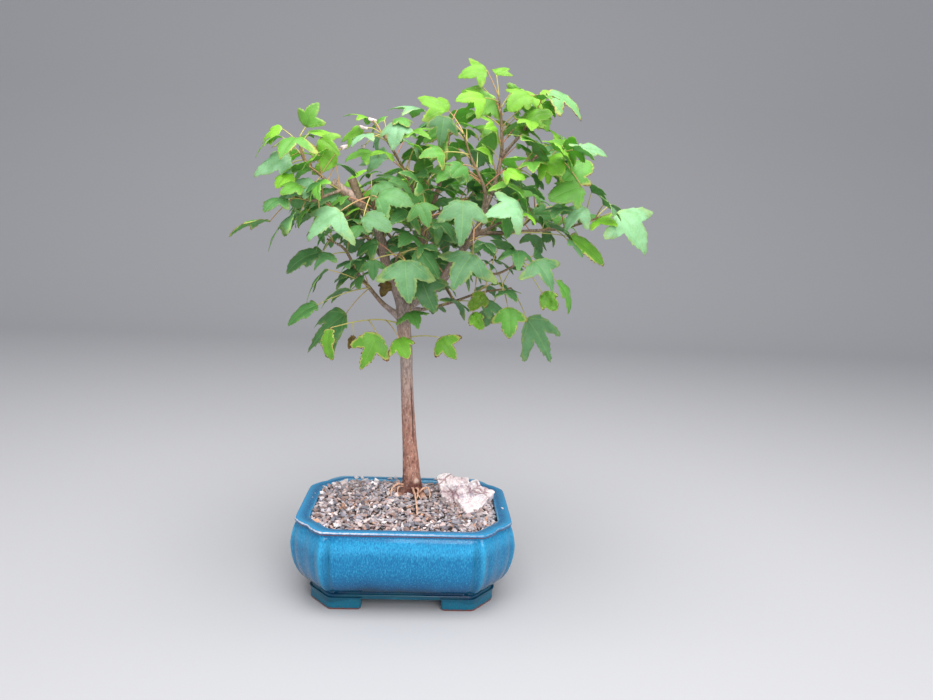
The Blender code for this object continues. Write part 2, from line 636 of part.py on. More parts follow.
def limb_tube(name, limb, grow=0.0):
    line, radii = limb_line(limb)
    return tube(name, line, [radius + grow for radius in radii])


def trunk_tube(name, grow=0.0):
    line = smooth_line([in_tree(point) for point in TRUNK], 1)
    radii = [radius * 0.001 * WOOD_THICKNESS * TREE_SCALE + grow for radius in TRUNK_RADII]
    return tube(name, line, radii, bevel_resolution=3)


def wood_cutters():
    """The trunk's foot and the roots, larger by the gap all round, to cut their room from the soil."""
    return [trunk_tube("cut_trunk", GAP)] + [limb_tube("cut_" + n, r, GAP) for n, r in ROOTS.items()]


def make_wood():
    wood = trunk_tube("trunk_and_branches")
    wood.data.materials.append(make_material("maple_bark", (0.30, 0.20, 0.14), 0.8))
    limbs = [limb_tube(name, limb) for name, limb in {**ROOTS, **BRANCHES}.items()]
    combine(wood, limbs, "UNION")
    return wood


# ---------------------------------------------------------------- leaves


def blade_half():
    """The right half of a blade's outline from its base to its tip, as shares of its length."""
    return ((0.16, 0.03), (0.37, 0.14), (LOBE_SPREAD, 0.37), (0.36, 0.41), (0.20, 0.46), (0.19, 0.60),
            (0.12, 0.80))


def flat_leaf(length, stalk):
    """The leaf as a flat sheet: blade from y = 0 to y = length, stalk below, split where it will bend."""
    bm = bmesh.new()
    half = [(x * length, y * length) for x, y in blade_half()]
    ring = [(STALK_WIDTH / 2, 0.0), *half, (0.0, length)]
    ring += [(-x, y) for x, y in reversed(half)] + [(-STALK_WIDTH / 2, 0.0)]
    flat_face(bm, ring)
    cuts = [((0, 0, 0), (1, 0, 0))] + [((0, share * length, 0), (0, 1, 0)) for share in (0.24, 0.5, 0.72)]
    for place, normal in cuts:
        geometry = [*bm.verts, *bm.edges, *bm.faces]
        bmesh.ops.bisect_plane(bm, geom=geometry, dist=1e-6, plane_co=place, plane_no=normal)
    for _ in range(3):
        lowest = min(vert.co.y for vert in bm.verts)
        end = [e for e in bm.edges if all(vert.co.y < lowest + 1e-6 for vert in e.verts)]
        new = bmesh.ops.extrude_edge_only(bm, edges=end)["geom"]
        verts = [item for item in new if isinstance(item, bmesh.types.BMVert)]
        bmesh.ops.translate(bm, verts=verts, vec=(0, -stalk / 3, 0))
    bmesh.ops.triangulate(bm, faces=bm.faces)
    return bm


def leaf_places(leaf):
    """The blade's base, and its tip at the leaf's real length."""
    base = in_tree(leaf.base)
    reach = (in_tree(leaf.tip) - base) * (LEAF_LENGTH / LAID_OUT_BLADE)
    return base, base + reach


def stalk_start(base, lines):
    """Where the stalk leaves the nearest limb, clear of its bark."""
    best = None
    for line, radii in lines:
        for a, b, radius in zip(line, line[1:], radii):
            near, share = intersect_point_line(base, a, b)
            near = a.lerp(b, min(1.0, max(0.0, share)))
            distance = (base - near).length
            if best is None or distance < best[0]:
                best = (distance, near, radius)
    _, near, radius = best
    return near + (base - near).normalized() * (radius + GAP + STALK_WIDTH / 2)


def bent_leaf(start, base, tip, face, thickness):
    """The closed leaf: a stalk from start to base, and a blade that arches and folds along its middle."""
    length = (tip - base).length
    stalk = (base - start).length
    along = (tip - base) / length
    across = along.cross(face).normalized()
    normal = across.cross(along)
    bm = flat_leaf(length, stalk)
    for vert in bm.verts:
        x, y, _ = vert.co
        if y < 0:
            share = 1 + y / stalk
            middle = start.lerp(base, share) + UP * STALK_ARCH * stalk * share * (1 - share)
            vert.co = middle + across * x
        else:
            share = y / length
            arch = BLADE_ARCH * length * (4 * share * (1 - share) - TIP_DROOP * share ** 2)
            vert.co = base + along * y + across * x + normal * (arch + BLADE_FOLD * abs(x) * (1 - share))
    bmesh.ops.recalc_face_normals(bm, faces=bm.faces)
    sheet = list(bm.faces)
    bmesh.ops.solidify(bm, geom=sheet, thickness=thickness)
    return bm


def swung(point, start, axis, turn):
    return start + Matrix.Rotation(turn, 3, axis) @ (point - start)


def place_leaf(leaf, lines, taken):
    """Builds the leaf, swung about the foot of its stalk until it clears all that is placed already."""
    base, tip = leaf_places(leaf)
    start = stalk_start(base, lines)
    for attempt in range(SWING_TRIES):
        turn = SWING_STEP * ((attempt + 1) // 2) * (1 if attempt % 2 else -1)
        new_base = swung(base, start, leaf.face.normalized(), turn)
        new_tip = swung(tip, start, leaf.face.normalized(), turn)
        trial = bent_leaf(start, new_base, new_tip, leaf.face, LEAF_THICKNESS + GAP)
        tree = BVHTree.FromBMesh(trial)
        trial.free()
        if not any(tree.overlap(other) for other in taken):
            break
    bm = bent_leaf(start, new_base, new_tip, leaf.face, LEAF_THICKNESS)
    taken.append(BVHTree.FromBMesh(bm))
    return bm


def make_leaves(wood):
    material_shades = {"left": (0.10, 0.30, 0.05), "front": (0.08, 0.27, 0.05), "top": (0.22, 0.48, 0.05),
                       "right": (0.10, 0.30, 0.07), "back": (0.07, 0.24, 0.04)}
    lines = [limb_line(limb) for limb in BRANCHES.values()]
    trunk_line = smooth_line([in_tree(point) for point in TRUNK], 1)
    lines.append((trunk_line, [radius * 0.001 * WOOD_THICKNESS * TREE_SCALE for radius in TRUNK_RADII]))
    solid = bmesh.new()
    solid.from_mesh(wood.data)
    taken = [BVHTree.FromBMesh(solid)]
    solid.free()
    for side, leaves in LEAVES.items():
        for number, leaf in enumerate(leaves, 1):
            bm = place_leaf(leaf, lines, taken)
            name = f"leaf_{side}_{number:02d}"
            add_object(name, bm, make_material(name + "_green", material_shades[side], 0.45), smooth=True)


# ---------------------------------------------------------------- whole part


def centre_over_origin():
    """Moves everything so that the whole part's box stands on the origin with its bottom centre."""
    bpy.context.view_layer.update()
    corners = []
    for obj in bpy.context.scene.objects:
        corners += [obj.matrix_world @ vert.co for vert in obj.data.vertices]
    low = Vector([min(corner[i] for corner in corners) for i in range(3)])
    high = Vector([max(corner[i] for corner in corners) for i in range(3)])
    shift = Vector((-(low.x + high.x) / 2, -(low.y + high.y) / 2, -low.z))
    for obj in bpy.context.scene.objects:
        obj.location += shift


def main():
    clear_scene()
    make_pot()
    for side, x in (("left", -DRAIN_X), ("right", DRAIN_X)):
        make_drain_screen("drain_screen_" + side, x)
        make_screen_wire("screen_wire_" + side, x)
    make_potting_soil(wood_cutters())
    make_gravel([*wood_cutters(), make_rock("cut_rock", GAP * 2)])
    make_rock("accent_rock", 0.0)
    wood = make_wood()
    make_leaves(wood)
    centre_over_origin()


main()
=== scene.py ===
"""The looks of a trident-maple bonsai in a glazed pot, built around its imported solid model.

Metres, +Z up, front towards -Y. The wood and the leaves are laid out in millimetres from the middle
of the trunk where it leaves the gravel, as the solid model's are.
"""

import logging
import math
import random
from abc import ABC, abstractmethod
from dataclasses import dataclass, field
from enum import Enum
from typing import Callable, Iterable, Sequence

import bmesh
import bpy
from mathutils import Matrix, Vector, noise
from mathutils.geometry import intersect_point_line


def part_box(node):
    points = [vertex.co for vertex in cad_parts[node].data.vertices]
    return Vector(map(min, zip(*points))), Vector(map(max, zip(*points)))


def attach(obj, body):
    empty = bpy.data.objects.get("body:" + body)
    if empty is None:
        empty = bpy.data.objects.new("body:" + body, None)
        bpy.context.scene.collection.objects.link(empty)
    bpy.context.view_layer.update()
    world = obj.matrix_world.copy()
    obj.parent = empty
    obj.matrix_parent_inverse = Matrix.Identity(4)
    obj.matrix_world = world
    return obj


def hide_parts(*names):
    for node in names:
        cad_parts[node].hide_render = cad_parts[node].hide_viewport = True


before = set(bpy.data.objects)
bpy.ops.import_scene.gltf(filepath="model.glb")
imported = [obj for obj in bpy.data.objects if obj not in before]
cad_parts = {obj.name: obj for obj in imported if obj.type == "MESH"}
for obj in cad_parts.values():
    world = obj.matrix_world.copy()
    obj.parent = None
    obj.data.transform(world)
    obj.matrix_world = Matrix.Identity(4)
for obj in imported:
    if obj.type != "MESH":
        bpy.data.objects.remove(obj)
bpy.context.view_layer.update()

LOG = logging.getLogger("bonsai")

MM = 0.001
UP = Vector((0, 0, 1))
FRONT = Vector((0, -1, 0))
BACK = Vector((0, 1, 0))
LEFT = Vector((-1, 0, 0))
RIGHT = Vector((1, 0, 0))

GRAVEL_BELOW_RIM = 0.0050
MOUND_HEIGHT = 0.0078
TREE_FROM_MIDDLE = (0.004, 0.027)
ROCK_FROM_TREE = (0.053, -0.017)


# ---------------------------------------------------------------- mesh helpers


def smooth_line(points: Sequence[Vector], steps: int) -> list[Vector]:
    """Points on a Catmull-Rom curve through the given ones.

    Args:
        points: The points that the curve goes through.
        steps: How many points each stretch between two of them gets.

    Returns:
        The curve's points, with both ends.
    """
    ends = [2 * points[0] - points[1], *points, 2 * points[-1] - points[-2]]
    line = []
    for a, b, c, d in zip(ends, ends[1:], ends[2:], ends[3:]):
        for step in range(steps):
            t = step / steps
            line.append(0.5 * (2 * b + (c - a) * t + (2 * a - 5 * b + 4 * c - d) * t ** 2
                               + (3 * b - a - 3 * c + d) * t ** 3))
    return [*line, points[-1]]


def tangents(line: Sequence[Vector]) -> list[Vector]:
    """The direction of a line at each of its points.

    Args:
        line: The line's points.

    Returns:
        One unit vector for each point.
    """
    found = []
    for i in range(len(line)):
        found.append((line[min(i + 1, len(line) - 1)] - line[max(i - 1, 0)]).normalized())
    return found


def clamp(value: float) -> float:
    """The value, kept between 0 and 1."""
    return min(1.0, max(0.0, value))


def layer(bm: bmesh.types.BMesh, name: str) -> bmesh.types.BMLayerItem:
    """The bmesh's float layer of that name on its vertices, made if it isn't there."""
    return bm.verts.layers.float.get(name) or bm.verts.layers.float.new(name)


def grow_ring(bm: bmesh.types.BMesh, edges: list[bmesh.types.BMEdge], order: dict[bmesh.types.BMVert, int]
              ) -> tuple[list[bmesh.types.BMEdge], dict[bmesh.types.BMVert, int]]:
    """Extrudes a ring of edges. Each new vertex gets the number of the old one that it grew from.

    Args:
        bm: The bmesh that the ring is in.
        edges: The ring's edges.
        order: The number of each of its vertices.

    Returns:
        The new ring's edges, and the number of each of its vertices.
    """
    grown = bmesh.ops.extrude_edge_only(bm, edges=edges)["geom"]
    numbers = {}
    for item in grown:
        if isinstance(item, bmesh.types.BMVert):
            others = [edge.other_vert(item) for edge in item.link_edges]
            numbers[item] = next(order[other] for other in others if other in order)
    ring = [item for item in grown
            if isinstance(item, bmesh.types.BMEdge) and all(vert in numbers for vert in item.verts)]
    return ring, numbers


def sweep(line: Sequence[Vector], radii: Sequence[float], sides: int,
          traits: dict[str, Callable[[float], float]] | None = None) -> bmesh.types.BMesh:
    """A closed round bar along a line, grown ring by ring from its first end.

    Args:
        line: The centre line's points.
        radii: The radius at each point.
        sides: How many sides the bar has.
        traits: Values to keep on the vertices, by name, each a function of the share along the line.

    Returns:
        The bar.
    """
    bm = bmesh.new()
    layers = {name: layer(bm, name) for name in traits or {}}
    ways = tangents(line)
    place = Matrix.Translation(line[0]) @ ways[0].to_track_quat("Z", "Y").to_matrix().to_4x4()
    verts = bmesh.ops.create_circle(bm, cap_ends=False, segments=sides, radius=radii[0],
                                    matrix=place)["verts"]
    edges, order = list(bm.edges), {vert: i for i, vert in enumerate(verts)}
    for i in range(len(line)):
        if i:
            edges, order = grow_ring(bm, edges, order)
            turn = ways[i - 1].rotation_difference(ways[i]).to_matrix().to_4x4()
            size = Matrix.Scale(radii[i] / radii[i - 1], 4)
            move = Matrix.Translation(line[i]) @ turn @ size @ Matrix.Translation(-line[i - 1])
            bmesh.ops.transform(bm, matrix=move, verts=list(order))
        for name, value in (traits or {}).items():
            for vert in order:
                vert[layers[name]] = value(i / (len(line) - 1))
    bmesh.ops.holes_fill(bm, edges=bm.edges, sides=0)
    bmesh.ops.recalc_face_normals(bm, faces=bm.faces)
    return bm


def close_ends(bm: bmesh.types.BMesh) -> None:
    """Closes a shell's open ends with small faces, and turns all faces outwards."""
    bmesh.ops.holes_fill(bm, edges=bm.edges, sides=0)
    bmesh.ops.triangulate(bm, faces=[face for face in bm.faces if len(face.verts) > 4])
    bmesh.ops.recalc_face_normals(bm, faces=bm.faces)


def slice_off(bm: bmesh.types.BMesh, place: Sequence[float], way: Sequence[float], closeness: float) -> None:
    """Cuts away what lies beyond a plane, and closes the cut.

    Args:
        bm: The shape.
        place: A spot on the plane.
        way: The plane's normal, towards what goes.
        closeness: How near to the plane a vertex counts as lying on it.
    """
    geometry = [*bm.verts, *bm.edges, *bm.faces]
    cut = bmesh.ops.bisect_plane(bm, geom=geometry, dist=closeness, plane_co=place, plane_no=way,
                                 clear_outer=True)["geom_cut"]
    rim = [item for item in cut if isinstance(item, bmesh.types.BMEdge)]
    if rim:
        bmesh.ops.holes_fill(bm, edges=rim, sides=0)


def add_voxel_merge(obj: bpy.types.Object, size: float) -> None:
    """Adds a modifier that merges all of an object's parts into one skin, as fine as the size."""
    merge = obj.modifiers.new("Merge", "REMESH")
    merge.mode = "VOXEL"
    merge.voxel_size = size


def absorb(target: bmesh.types.BMesh, part: bmesh.types.BMesh) -> None:
    """Adds a part to a larger bmesh, with its layers, and frees the part.

    Args:
        target: The bmesh that grows.
        part: The bmesh to add.
    """
    mesh = bpy.data.meshes.new("part")
    part.to_mesh(mesh)
    part.free()
    target.from_mesh(mesh)
    bpy.data.meshes.remove(mesh)


def apply_modifiers(obj: bpy.types.Object) -> None:
    """Makes the object's evaluated shape its own mesh, and removes its modifiers."""
    bpy.context.view_layer.update()
    evaluated = obj.evaluated_get(bpy.context.evaluated_depsgraph_get())
    mesh = bpy.data.meshes.new_from_object(evaluated, preserve_all_data_layers=True,
                                           depsgraph=bpy.context.evaluated_depsgraph_get())
    obj.modifiers.clear()
    old = obj.data
    obj.data = mesh
    bpy.data.meshes.remove(old)


def loose_object(name: str, bm: bmesh.types.BMesh, smooth: bool = True) -> bpy.types.Object:
    """A scene object from a bmesh, which is freed.

    Args:
        name: The object's name.
        bm: Its shape.
        smooth: Whether its faces are shaded smooth.

    Returns:
        The object.
    """
    for face in bm.faces:
        face.smooth = smooth
    mesh = bpy.data.meshes.new(name)
    bm.to_mesh(mesh)
    bm.free()
    obj = bpy.data.objects.new(name, mesh)
    bpy.context.scene.collection.objects.link(obj)
    return obj


def boolean(obj: bpy.types.Object, others: Sequence[bpy.types.Object], operation: str) -> None:
    """Joins the other objects to this one, or cuts them out of it, and removes them.

    Args:
        obj: The object that changes.
        others: The objects that it is combined with.
        operation: UNION or DIFFERENCE.
    """
    for other in others:
        modifier = obj.modifiers.new("Combine", "BOOLEAN")
        modifier.operation = operation
        modifier.object = other
        modifier.solver = "EXACT"
    apply_modifiers(obj)
    for other in others:
        bpy.data.objects.remove(other, do_unlink=True)


def hand_over(obj: bpy.types.Object, materials: Iterable[bpy.types.Material],
              replaces: Sequence[str] = ()) -> None:
    """Dresses a finished piece, puts it on its body and hides the nodes of the solid model that it stands for.

    Args:
        obj: The piece.
        materials: Its materials, in the order of its faces' indices.
        replaces: The nodes of the solid model that it stands for.
    """
    for material in materials:
        obj.data.materials.append(material)
    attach(obj, "root")
    if replaces:
        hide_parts(*replaces)
    LOG.info("%s: %d faces", obj.name, len(obj.data.polygons))


# ---------------------------------------------------------------- material helpers


class Painter:
    """Places and links the nodes of one material or node group."""

    def __init__(self, tree: bpy.types.NodeTree) -> None:
        """Keeps the node tree to build in."""
        self.tree = tree

    def feed(self, socket: bpy.types.NodeSocket, value: object) -> None:
        """Links another socket to an input, or sets it to a value.

        Args:
            socket: The input.
            value: The socket or value that it gets.
        """
        if isinstance(value, bpy.types.NodeSocket):
            self.tree.links.new(value, socket)
        else:
            socket.default_value = value

    def add(self, kind: str, inputs: dict | None = None, **settings: object) -> bpy.types.Node:
        """Adds a node.

        Args:
            kind: The node's type name without its ShaderNode prefix.
            inputs: Values or sockets for its inputs, by name or number.
            settings: The node's own settings.

        Returns:
            The node.
        """
        prefix = "" if kind.startswith("Node") else "ShaderNode"
        node = self.tree.nodes.new(prefix + kind)
        for name, value in settings.items():
            setattr(node, name, value)
        for key, value in (inputs or {}).items():
            self.feed(node.inputs[key], value)
        return node

    def math(self, operation: str, a: object, b: object = 0.0, clamp: bool = False) -> bpy.types.NodeSocket:
        """One Math node's result.

        Args:
            operation: The node's operation.
            a: The first value or socket.
            b: The second value or socket.
            clamp: Whether the result is kept between 0 and 1.

        Returns:
            The result's socket.
        """
        return self.add("Math", {0: a, 1: b}, operation=operation, use_clamp=clamp).outputs[0]

    def times(self, a: object, b: object) -> bpy.types.NodeSocket:
        """One value multiplied by another."""
        return self.math("MULTIPLY", a, b)

    def plus(self, a: object, b: object, clamp: bool = False) -> bpy.types.NodeSocket:
        """The sum of two values, kept between 0 and 1 if clamped."""
        return self.math("ADD", a, b, clamp)

    def minus(self, a: object, b: object) -> bpy.types.NodeSocket:
        """The first value less the second."""
        return self.math("SUBTRACT", a, b)

    def most(self, a: object, b: object) -> bpy.types.NodeSocket:
        """The greater of two values."""
        return self.math("MAXIMUM", a, b)

    def mix(self, share: object, a: object, b: object, blend: str = "MIX") -> bpy.types.NodeSocket:
        """A mix of two colours.

        Args:
            share: How much of the second colour there is.
            a: The first colour or socket.
            b: The second colour or socket.
            blend: The blend type.

        Returns:
            The mixed colour's socket.
        """
        node = self.add("Mix", {0: share}, data_type="RGBA", blend_type=blend)
        for index, value in ((6, a), (7, b)):
            self.feed(node.inputs[index], (*value, 1.0) if isinstance(value, tuple) else value)
        return node.outputs[2]

    def over(self, base: object, colour: object, mask: object, strength: object) -> bpy.types.NodeSocket:
        """A colour laid over another where a mask shows it.

        Args:
            base: The colour below.
            colour: The colour on top.
            mask: Where it lies, from 0 to 1.
            strength: How strongly it covers there.

        Returns:
            The result's socket.
        """
        return self.mix(self.times(mask, strength), base, colour)

    def ramp(self, value: bpy.types.NodeSocket, stops: Sequence[tuple[float, tuple]],
             interpolation: str = "LINEAR") -> bpy.types.NodeSocket:
        """A colour ramp.

        Args:
            value: The socket that runs along the ramp.
            stops: Positions and colours, in order.
            interpolation: How the ramp runs between its stops.

        Returns:
            The colour's socket.
        """
        node = self.add("ValToRGB", {0: value})
        node.color_ramp.interpolation = interpolation
        elements = node.color_ramp.elements
        while len(elements) < len(stops):
            elements.new(0.5)
        for element, (position, colour) in zip(elements, stops):
            element.position = position
            element.color = (*colour, 1.0)
        return node.outputs[0]

    def tinted(self, colour: object, value: bpy.types.NodeSocket, *stops: tuple) -> bpy.types.NodeSocket:
        """A colour multiplied by a ramp of tints.

        Args:
            colour: The colour.
            value: The socket that runs along the ramp.
            stops: The ramp's positions and tints, or its two end tints alone.

        Returns:
            The tinted colour's socket.
        """
        if len(stops) == 2:
            stops = tuple(enumerate(stops))
        return self.mix(1.0, colour, self.ramp(value, stops), "MULTIPLY")

    def span(self, value: bpy.types.NodeSocket, low: float, high: float, to_low: float = 0.0,
             to_high: float = 1.0, smooth: bool = False) -> bpy.types.NodeSocket:
        """A value moved from one span to another, and kept inside it.

        Args:
            value: The socket to move.
            low: Where the old span starts.
            high: Where the old span ends.
            to_low: Where the new span starts.
            to_high: Where the new span ends.
            smooth: Whether the change eases in and out.

        Returns:
            The moved value's socket.
        """
        kind = "SMOOTHSTEP" if smooth else "LINEAR"
        return self.add("MapRange", {0: value, 1: low, 2: high, 3: to_low, 4: to_high},
                        interpolation_type=kind).outputs[0]

    def trait(self, name: str) -> bpy.types.NodeSocket:
        """The value of a mesh attribute."""
        return self.add("Attribute", attribute_name=name).outputs["Fac"]

    def axis(self, point: bpy.types.NodeSocket, name: str) -> bpy.types.NodeSocket:
        """One coordinate of a point: X, Y or Z."""
        return self.add("SeparateXYZ", {0: point}).outputs[name]

    def place(self, stretch: Sequence[float] = (1, 1, 1)) -> bpy.types.NodeSocket:
        """Object coordinates, with patterns finer along an axis the larger its stretch."""
        point = self.add("TexCoord").outputs["Object"]
        return self.add("Mapping", {"Vector": point, "Scale": stretch}).outputs[0]

    def noise(self, point: bpy.types.NodeSocket, scale: object, detail: float = 3.0,
              roughness: float = 0.5) -> bpy.types.NodeSocket:
        """A noise texture's value.

        Args:
            point: Where it is read.
            scale: Its scale, per metre.
            detail: How many octaves it has.
            roughness: How strong the fine octaves are.

        Returns:
            The value's socket.
        """
        return self.add("TexNoise", {"Vector": point, "Scale": scale, "Detail": detail,
                                     "Roughness": roughness}).outputs["Fac"]


class SharedEffects:
    """The node groups that several finishes use, each built once."""

    def __init__(self) -> None:
        """Builds the groups."""
        self.speckle = self._speckle()
        self.mottle = self._mottle()

    @staticmethod
    def _new(name: str, output: str, **inputs: float | None
             ) -> tuple[Painter, dict[str, bpy.types.NodeSocket], bpy.types.NodeSocket]:
        """Starts a node group that reads a point and gives one value.

        Args:
            name: The group's name.
            output: The value's name.
            inputs: The default of each input value.

        Returns:
            A painter for the group, its inputs by name, and its output.
        """
        tree = bpy.data.node_groups.new(name, "ShaderNodeTree")
        tree.interface.new_socket("Point", in_out="INPUT", socket_type="NodeSocketVector")
        for label, default in inputs.items():
            tree.interface.new_socket(label, in_out="INPUT", socket_type="NodeSocketFloat").default_value = default
        tree.interface.new_socket(output, in_out="OUTPUT", socket_type="NodeSocketFloat")
        paint = Painter(tree)
        given = {socket.name: socket for socket in paint.add("NodeGroupInput").outputs}
        return paint, given, paint.add("NodeGroupOutput").inputs[output]

    def _speckle(self) -> bpy.types.NodeTree:
        """Small scattered spots: Amount is the share of cells that have one, Size its reach in its cell."""
        paint, given, result = self._new("scattered_speckles", "Mask", Scale=500, Amount=0.3, Size=0.3)
        texture = paint.add("TexVoronoi", {"Vector": given["Point"], "Scale": given["Scale"]})
        chosen = paint.add("SeparateColor", {0: texture.outputs["Color"]}).outputs[0]
        there = paint.math("LESS_THAN", chosen, given["Amount"])
        near = paint.math("DIVIDE", texture.outputs["Distance"], given["Size"])
        paint.feed(result, paint.times(there, paint.span(near, 0.7, 1.0, 1.0, 0.0, smooth=True)))
        return paint.tree

    def _mottle(self) -> bpy.types.NodeTree:
        """Coarse and fine noise together, spread to the whole span from 0 to 1."""
        paint, given, result = self._new("mottled_tone", "Tone", Scale=100, Fineness=8)
        coarse = paint.noise(given["Point"], given["Scale"])
        fine = paint.noise(given["Point"], paint.times(given["Scale"], given["Fineness"]), 2.0)
        both = paint.plus(paint.times(coarse, 0.65), paint.times(fine, 0.35))
        paint.feed(result, paint.span(both, 0.32, 0.68))
        return paint.tree

    def spots(self, paint: Painter, point: bpy.types.NodeSocket, scale: float, amount: float,
              size: float) -> bpy.types.NodeSocket:
        """The mask of scattered spots.

        Args:
            paint: The painter of the material that has them.
            point: Where they are read.
            scale: How many cells there are to a metre.
            amount: The share of cells with a spot.
            size: A spot's reach in its cell.

        Returns:
            The mask's socket.
        """
        return paint.add("Group", {"Point": point, "Scale": scale, "Amount": amount, "Size": size},
                         node_tree=self.speckle).outputs[0]

    def tone(self, paint: Painter, point: bpy.types.NodeSocket, scale: float,
             fineness: float) -> bpy.types.NodeSocket:
        """A mottled tone from 0 to 1.

        Args:
            paint: The painter of the material that has it.
            point: Where it is read.
            scale: Its coarse scale, per metre.
            fineness: How many times finer its fine part is.

        Returns:
            The tone's socket.
        """
        return paint.add("Group", {"Point": point, "Scale": scale, "Fineness": fineness},
                         node_tree=self.mottle).outputs[0]


class Finish:
    """A material with one Principled shader, which a look paints."""

    def __init__(self, name: str) -> None:
        """Makes the material, under its name."""
        self.material = bpy.data.materials.new(name)
        self.material.use_nodes = True
        self.paint = Painter(self.material.node_tree)
        self.shader = self.material.node_tree.nodes["Principled BSDF"]
        self.output = self.material.node_tree.nodes["Material Output"]

    def set(self, **values: object) -> None:
        """Sets or links the shader's inputs, whose names have _ for a space."""
        for name, value in values.items():
            self.paint.feed(self.shader.inputs[name.replace("_", " ")], value)

    def bump(self, height: bpy.types.NodeSocket, distance: float, strength: float = 1.0) -> None:
        """Gives the shader a bump.

        Args:
            height: The socket of the bump's height, from 0 to 1.
            distance: The height that 1 stands for, in metres.
            strength: The bump's strength.
        """
        node = self.paint.add("Bump", {"Height": height, "Distance": distance, "Strength": strength})
        self.paint.feed(self.shader.inputs["Normal"], node.outputs[0])


# ---------------------------------------------------------------- finishes


class Look(ABC):
    """A procedural look, whose own method paints its material."""

    name: str

    def build(self, effects: SharedEffects) -> bpy.types.Material:
        """Makes the material.

        Args:
            effects: The shared node groups.

        Returns:
            The material.
        """
        finish = Finish(self.name)
        self.dress(finish, finish.paint, finish.paint.place(), effects)
        return finish.material

    @abstractmethod
    def dress(self, finish: Finish, paint: Painter, point: bpy.types.NodeSocket,
              effects: SharedEffects) -> None:
        """Paints the material.

        Args:
            finish: The material.
            paint: Its painter.
            point: Its object coordinates.
            effects: The shared node groups.
        """


@dataclass(frozen=True)
class Glaze(Look):
    """A flecked blue glaze that thins to red-brown clay on sharp edges and on the feet's soles."""

    top: float
    name: str = "flecked_blue_glaze"
    # The cove colour, band and deep, where they lie low on the wall, are painted shade; light paints a reflection
    # band high on the wall.
    shaded_cove: tuple = (0.002, 0.024, 0.060)
    foot: tuple = (0.005, 0.115, 0.170)
    band: tuple = (0.003, 0.062, 0.092)
    deep: tuple = (0.003, 0.085, 0.225)
    middle: tuple = (0.005, 0.175, 0.380)
    light: tuple = (0.024, 0.310, 0.580)
    teal: tuple = (0.006, 0.130, 0.225)
    pale: tuple = (0.075, 0.570, 0.830)
    # A painted highlight on the back of the rim.
    back_rim_highlight: tuple = (0.300, 0.560, 0.740)
    # thin is partly thinned glaze and partly a painted highlight along the lip.
    thin: tuple = (0.640, 0.620, 0.660)
    clay: tuple = (0.200, 0.050, 0.040)

    def dress(self, finish: Finish, paint: Painter, point: bpy.types.NodeSocket,
              effects: SharedEffects) -> None:
        """Paints the bands up the wall, with painted shade low down and a painted reflection high up, the flecks
        and runs, painted shade in the rib grooves and painted highlights on the crests, rim and lip, and the clay
        where the glaze is thin.
        """
        height = paint.axis(point, "Z")
        wave = paint.noise(point, 28, 2.0)
        share = paint.plus(paint.math("DIVIDE", height, self.top), paint.span(wave, 0.3, 0.7, -0.035, 0.035))
        # Painted shade: the band, cove and lower belly are darker where the belly hangs over them. Painted
        # reflection: the light band high on the wall.
        body = paint.ramp(share, (
            (0.00, self.foot), (0.11, self.foot), (0.13, self.band), (0.17, self.band), (0.19, self.shaded_cove),
            (0.27, self.shaded_cove), (0.37, self.deep), (0.54, self.middle), (0.72, self.middle),
            (0.80, self.light), (0.87, self.light), (0.92, self.middle), (1.00, self.deep)))
        streaks = paint.noise(paint.place((1, 1, 0.38)), 1050, 3.0, 0.6)
        flecks = paint.span(streaks, 0.50, 0.68)
        body = paint.over(body, self.pale, flecks, paint.span(share, 0.2, 0.5, 0.05, 0.36))
        body = paint.over(body, self.deep, paint.span(streaks, 0.50, 0.34), 0.60)
        body = paint.over(body, paint.mix(flecks, self.teal, self.middle), paint.trait("corner_face"), 0.25)
        # Darker teal in the rib grooves is painted shade, partly glaze pooling; the paler crests are a painted
        # highlight, partly thinner glaze.
        body = paint.over(body, self.teal, paint.trait("pooled_and_shaded"), 0.60)
        body = paint.over(body, self.pale, paint.trait("crest"), 0.30)
        clouds = effects.tone(paint, point, 45, 5)
        body = paint.over(body, self.middle, clouds, paint.span(share, 0.25, 0.45, 0.05, 0.35))
        # Painted highlight: the rim's top and inner edge are lighter, and the back of the rim lighter still.
        rim = paint.trait("rim_highlight")
        body = paint.over(body, self.light, rim, 0.80)
        body = paint.over(body, self.back_rim_highlight, rim, paint.span(paint.axis(point, "Y"), 0.030, 0.048, 0.0, 0.60))
        holes = effects.spots(paint, point, 130, 0.03, 0.12)
        body = paint.over(body, self.clay, holes, 0.85)
        ragged = paint.noise(point, 420, 2.0)
        fray = paint.minus(ragged, 0.5)
        thin = paint.span(paint.plus(paint.trait("worn_edge"), fray), 0.48, 0.74)
        body = paint.mix(thin, body, self.clay)
        # A pale painted highlight along the lip's top edge, partly thinned glaze, stronger at the front left.
        crest = paint.span(paint.plus(paint.trait("lip_highlight"), fray), 0.50, 0.85)
        highlight_strength = paint.plus(paint.span(paint.axis(point, "X"), -0.10, 0.04, 0.78, 0.30),
                            paint.span(paint.noise(point, 55, 3.0), 0.35, 0.65, -0.22, 0.22), clamp=True)
        body = paint.over(body, self.thin, crest, highlight_strength)
        sole = paint.span(paint.plus(height, paint.span(ragged, 0.3, 0.7, -0.0006, 0.0006)),
                          0.0012, 0.0019, 1.0, 0.0)
        body = paint.mix(sole, body, self.clay)
        bare = paint.most(paint.most(paint.times(thin, 0.5), sole), holes)
        gloss = paint.span(paint.noise(point, 60, 2.0), 0.3, 0.7, 0.10, 0.20)
        finish.set(Base_Color=body, Roughness=paint.plus(gloss, paint.times(bare, 0.45)), IOR=1.45,
                   Coat_Weight=0.05, Coat_Roughness=0.05, Specular_IOR_Level=0.38)
        ripple = paint.plus(paint.times(wave, 0.6), paint.times(streaks, 0.10))
        finish.bump(paint.minus(ripple, paint.times(bare, 0.25)), 0.0006, 0.5)


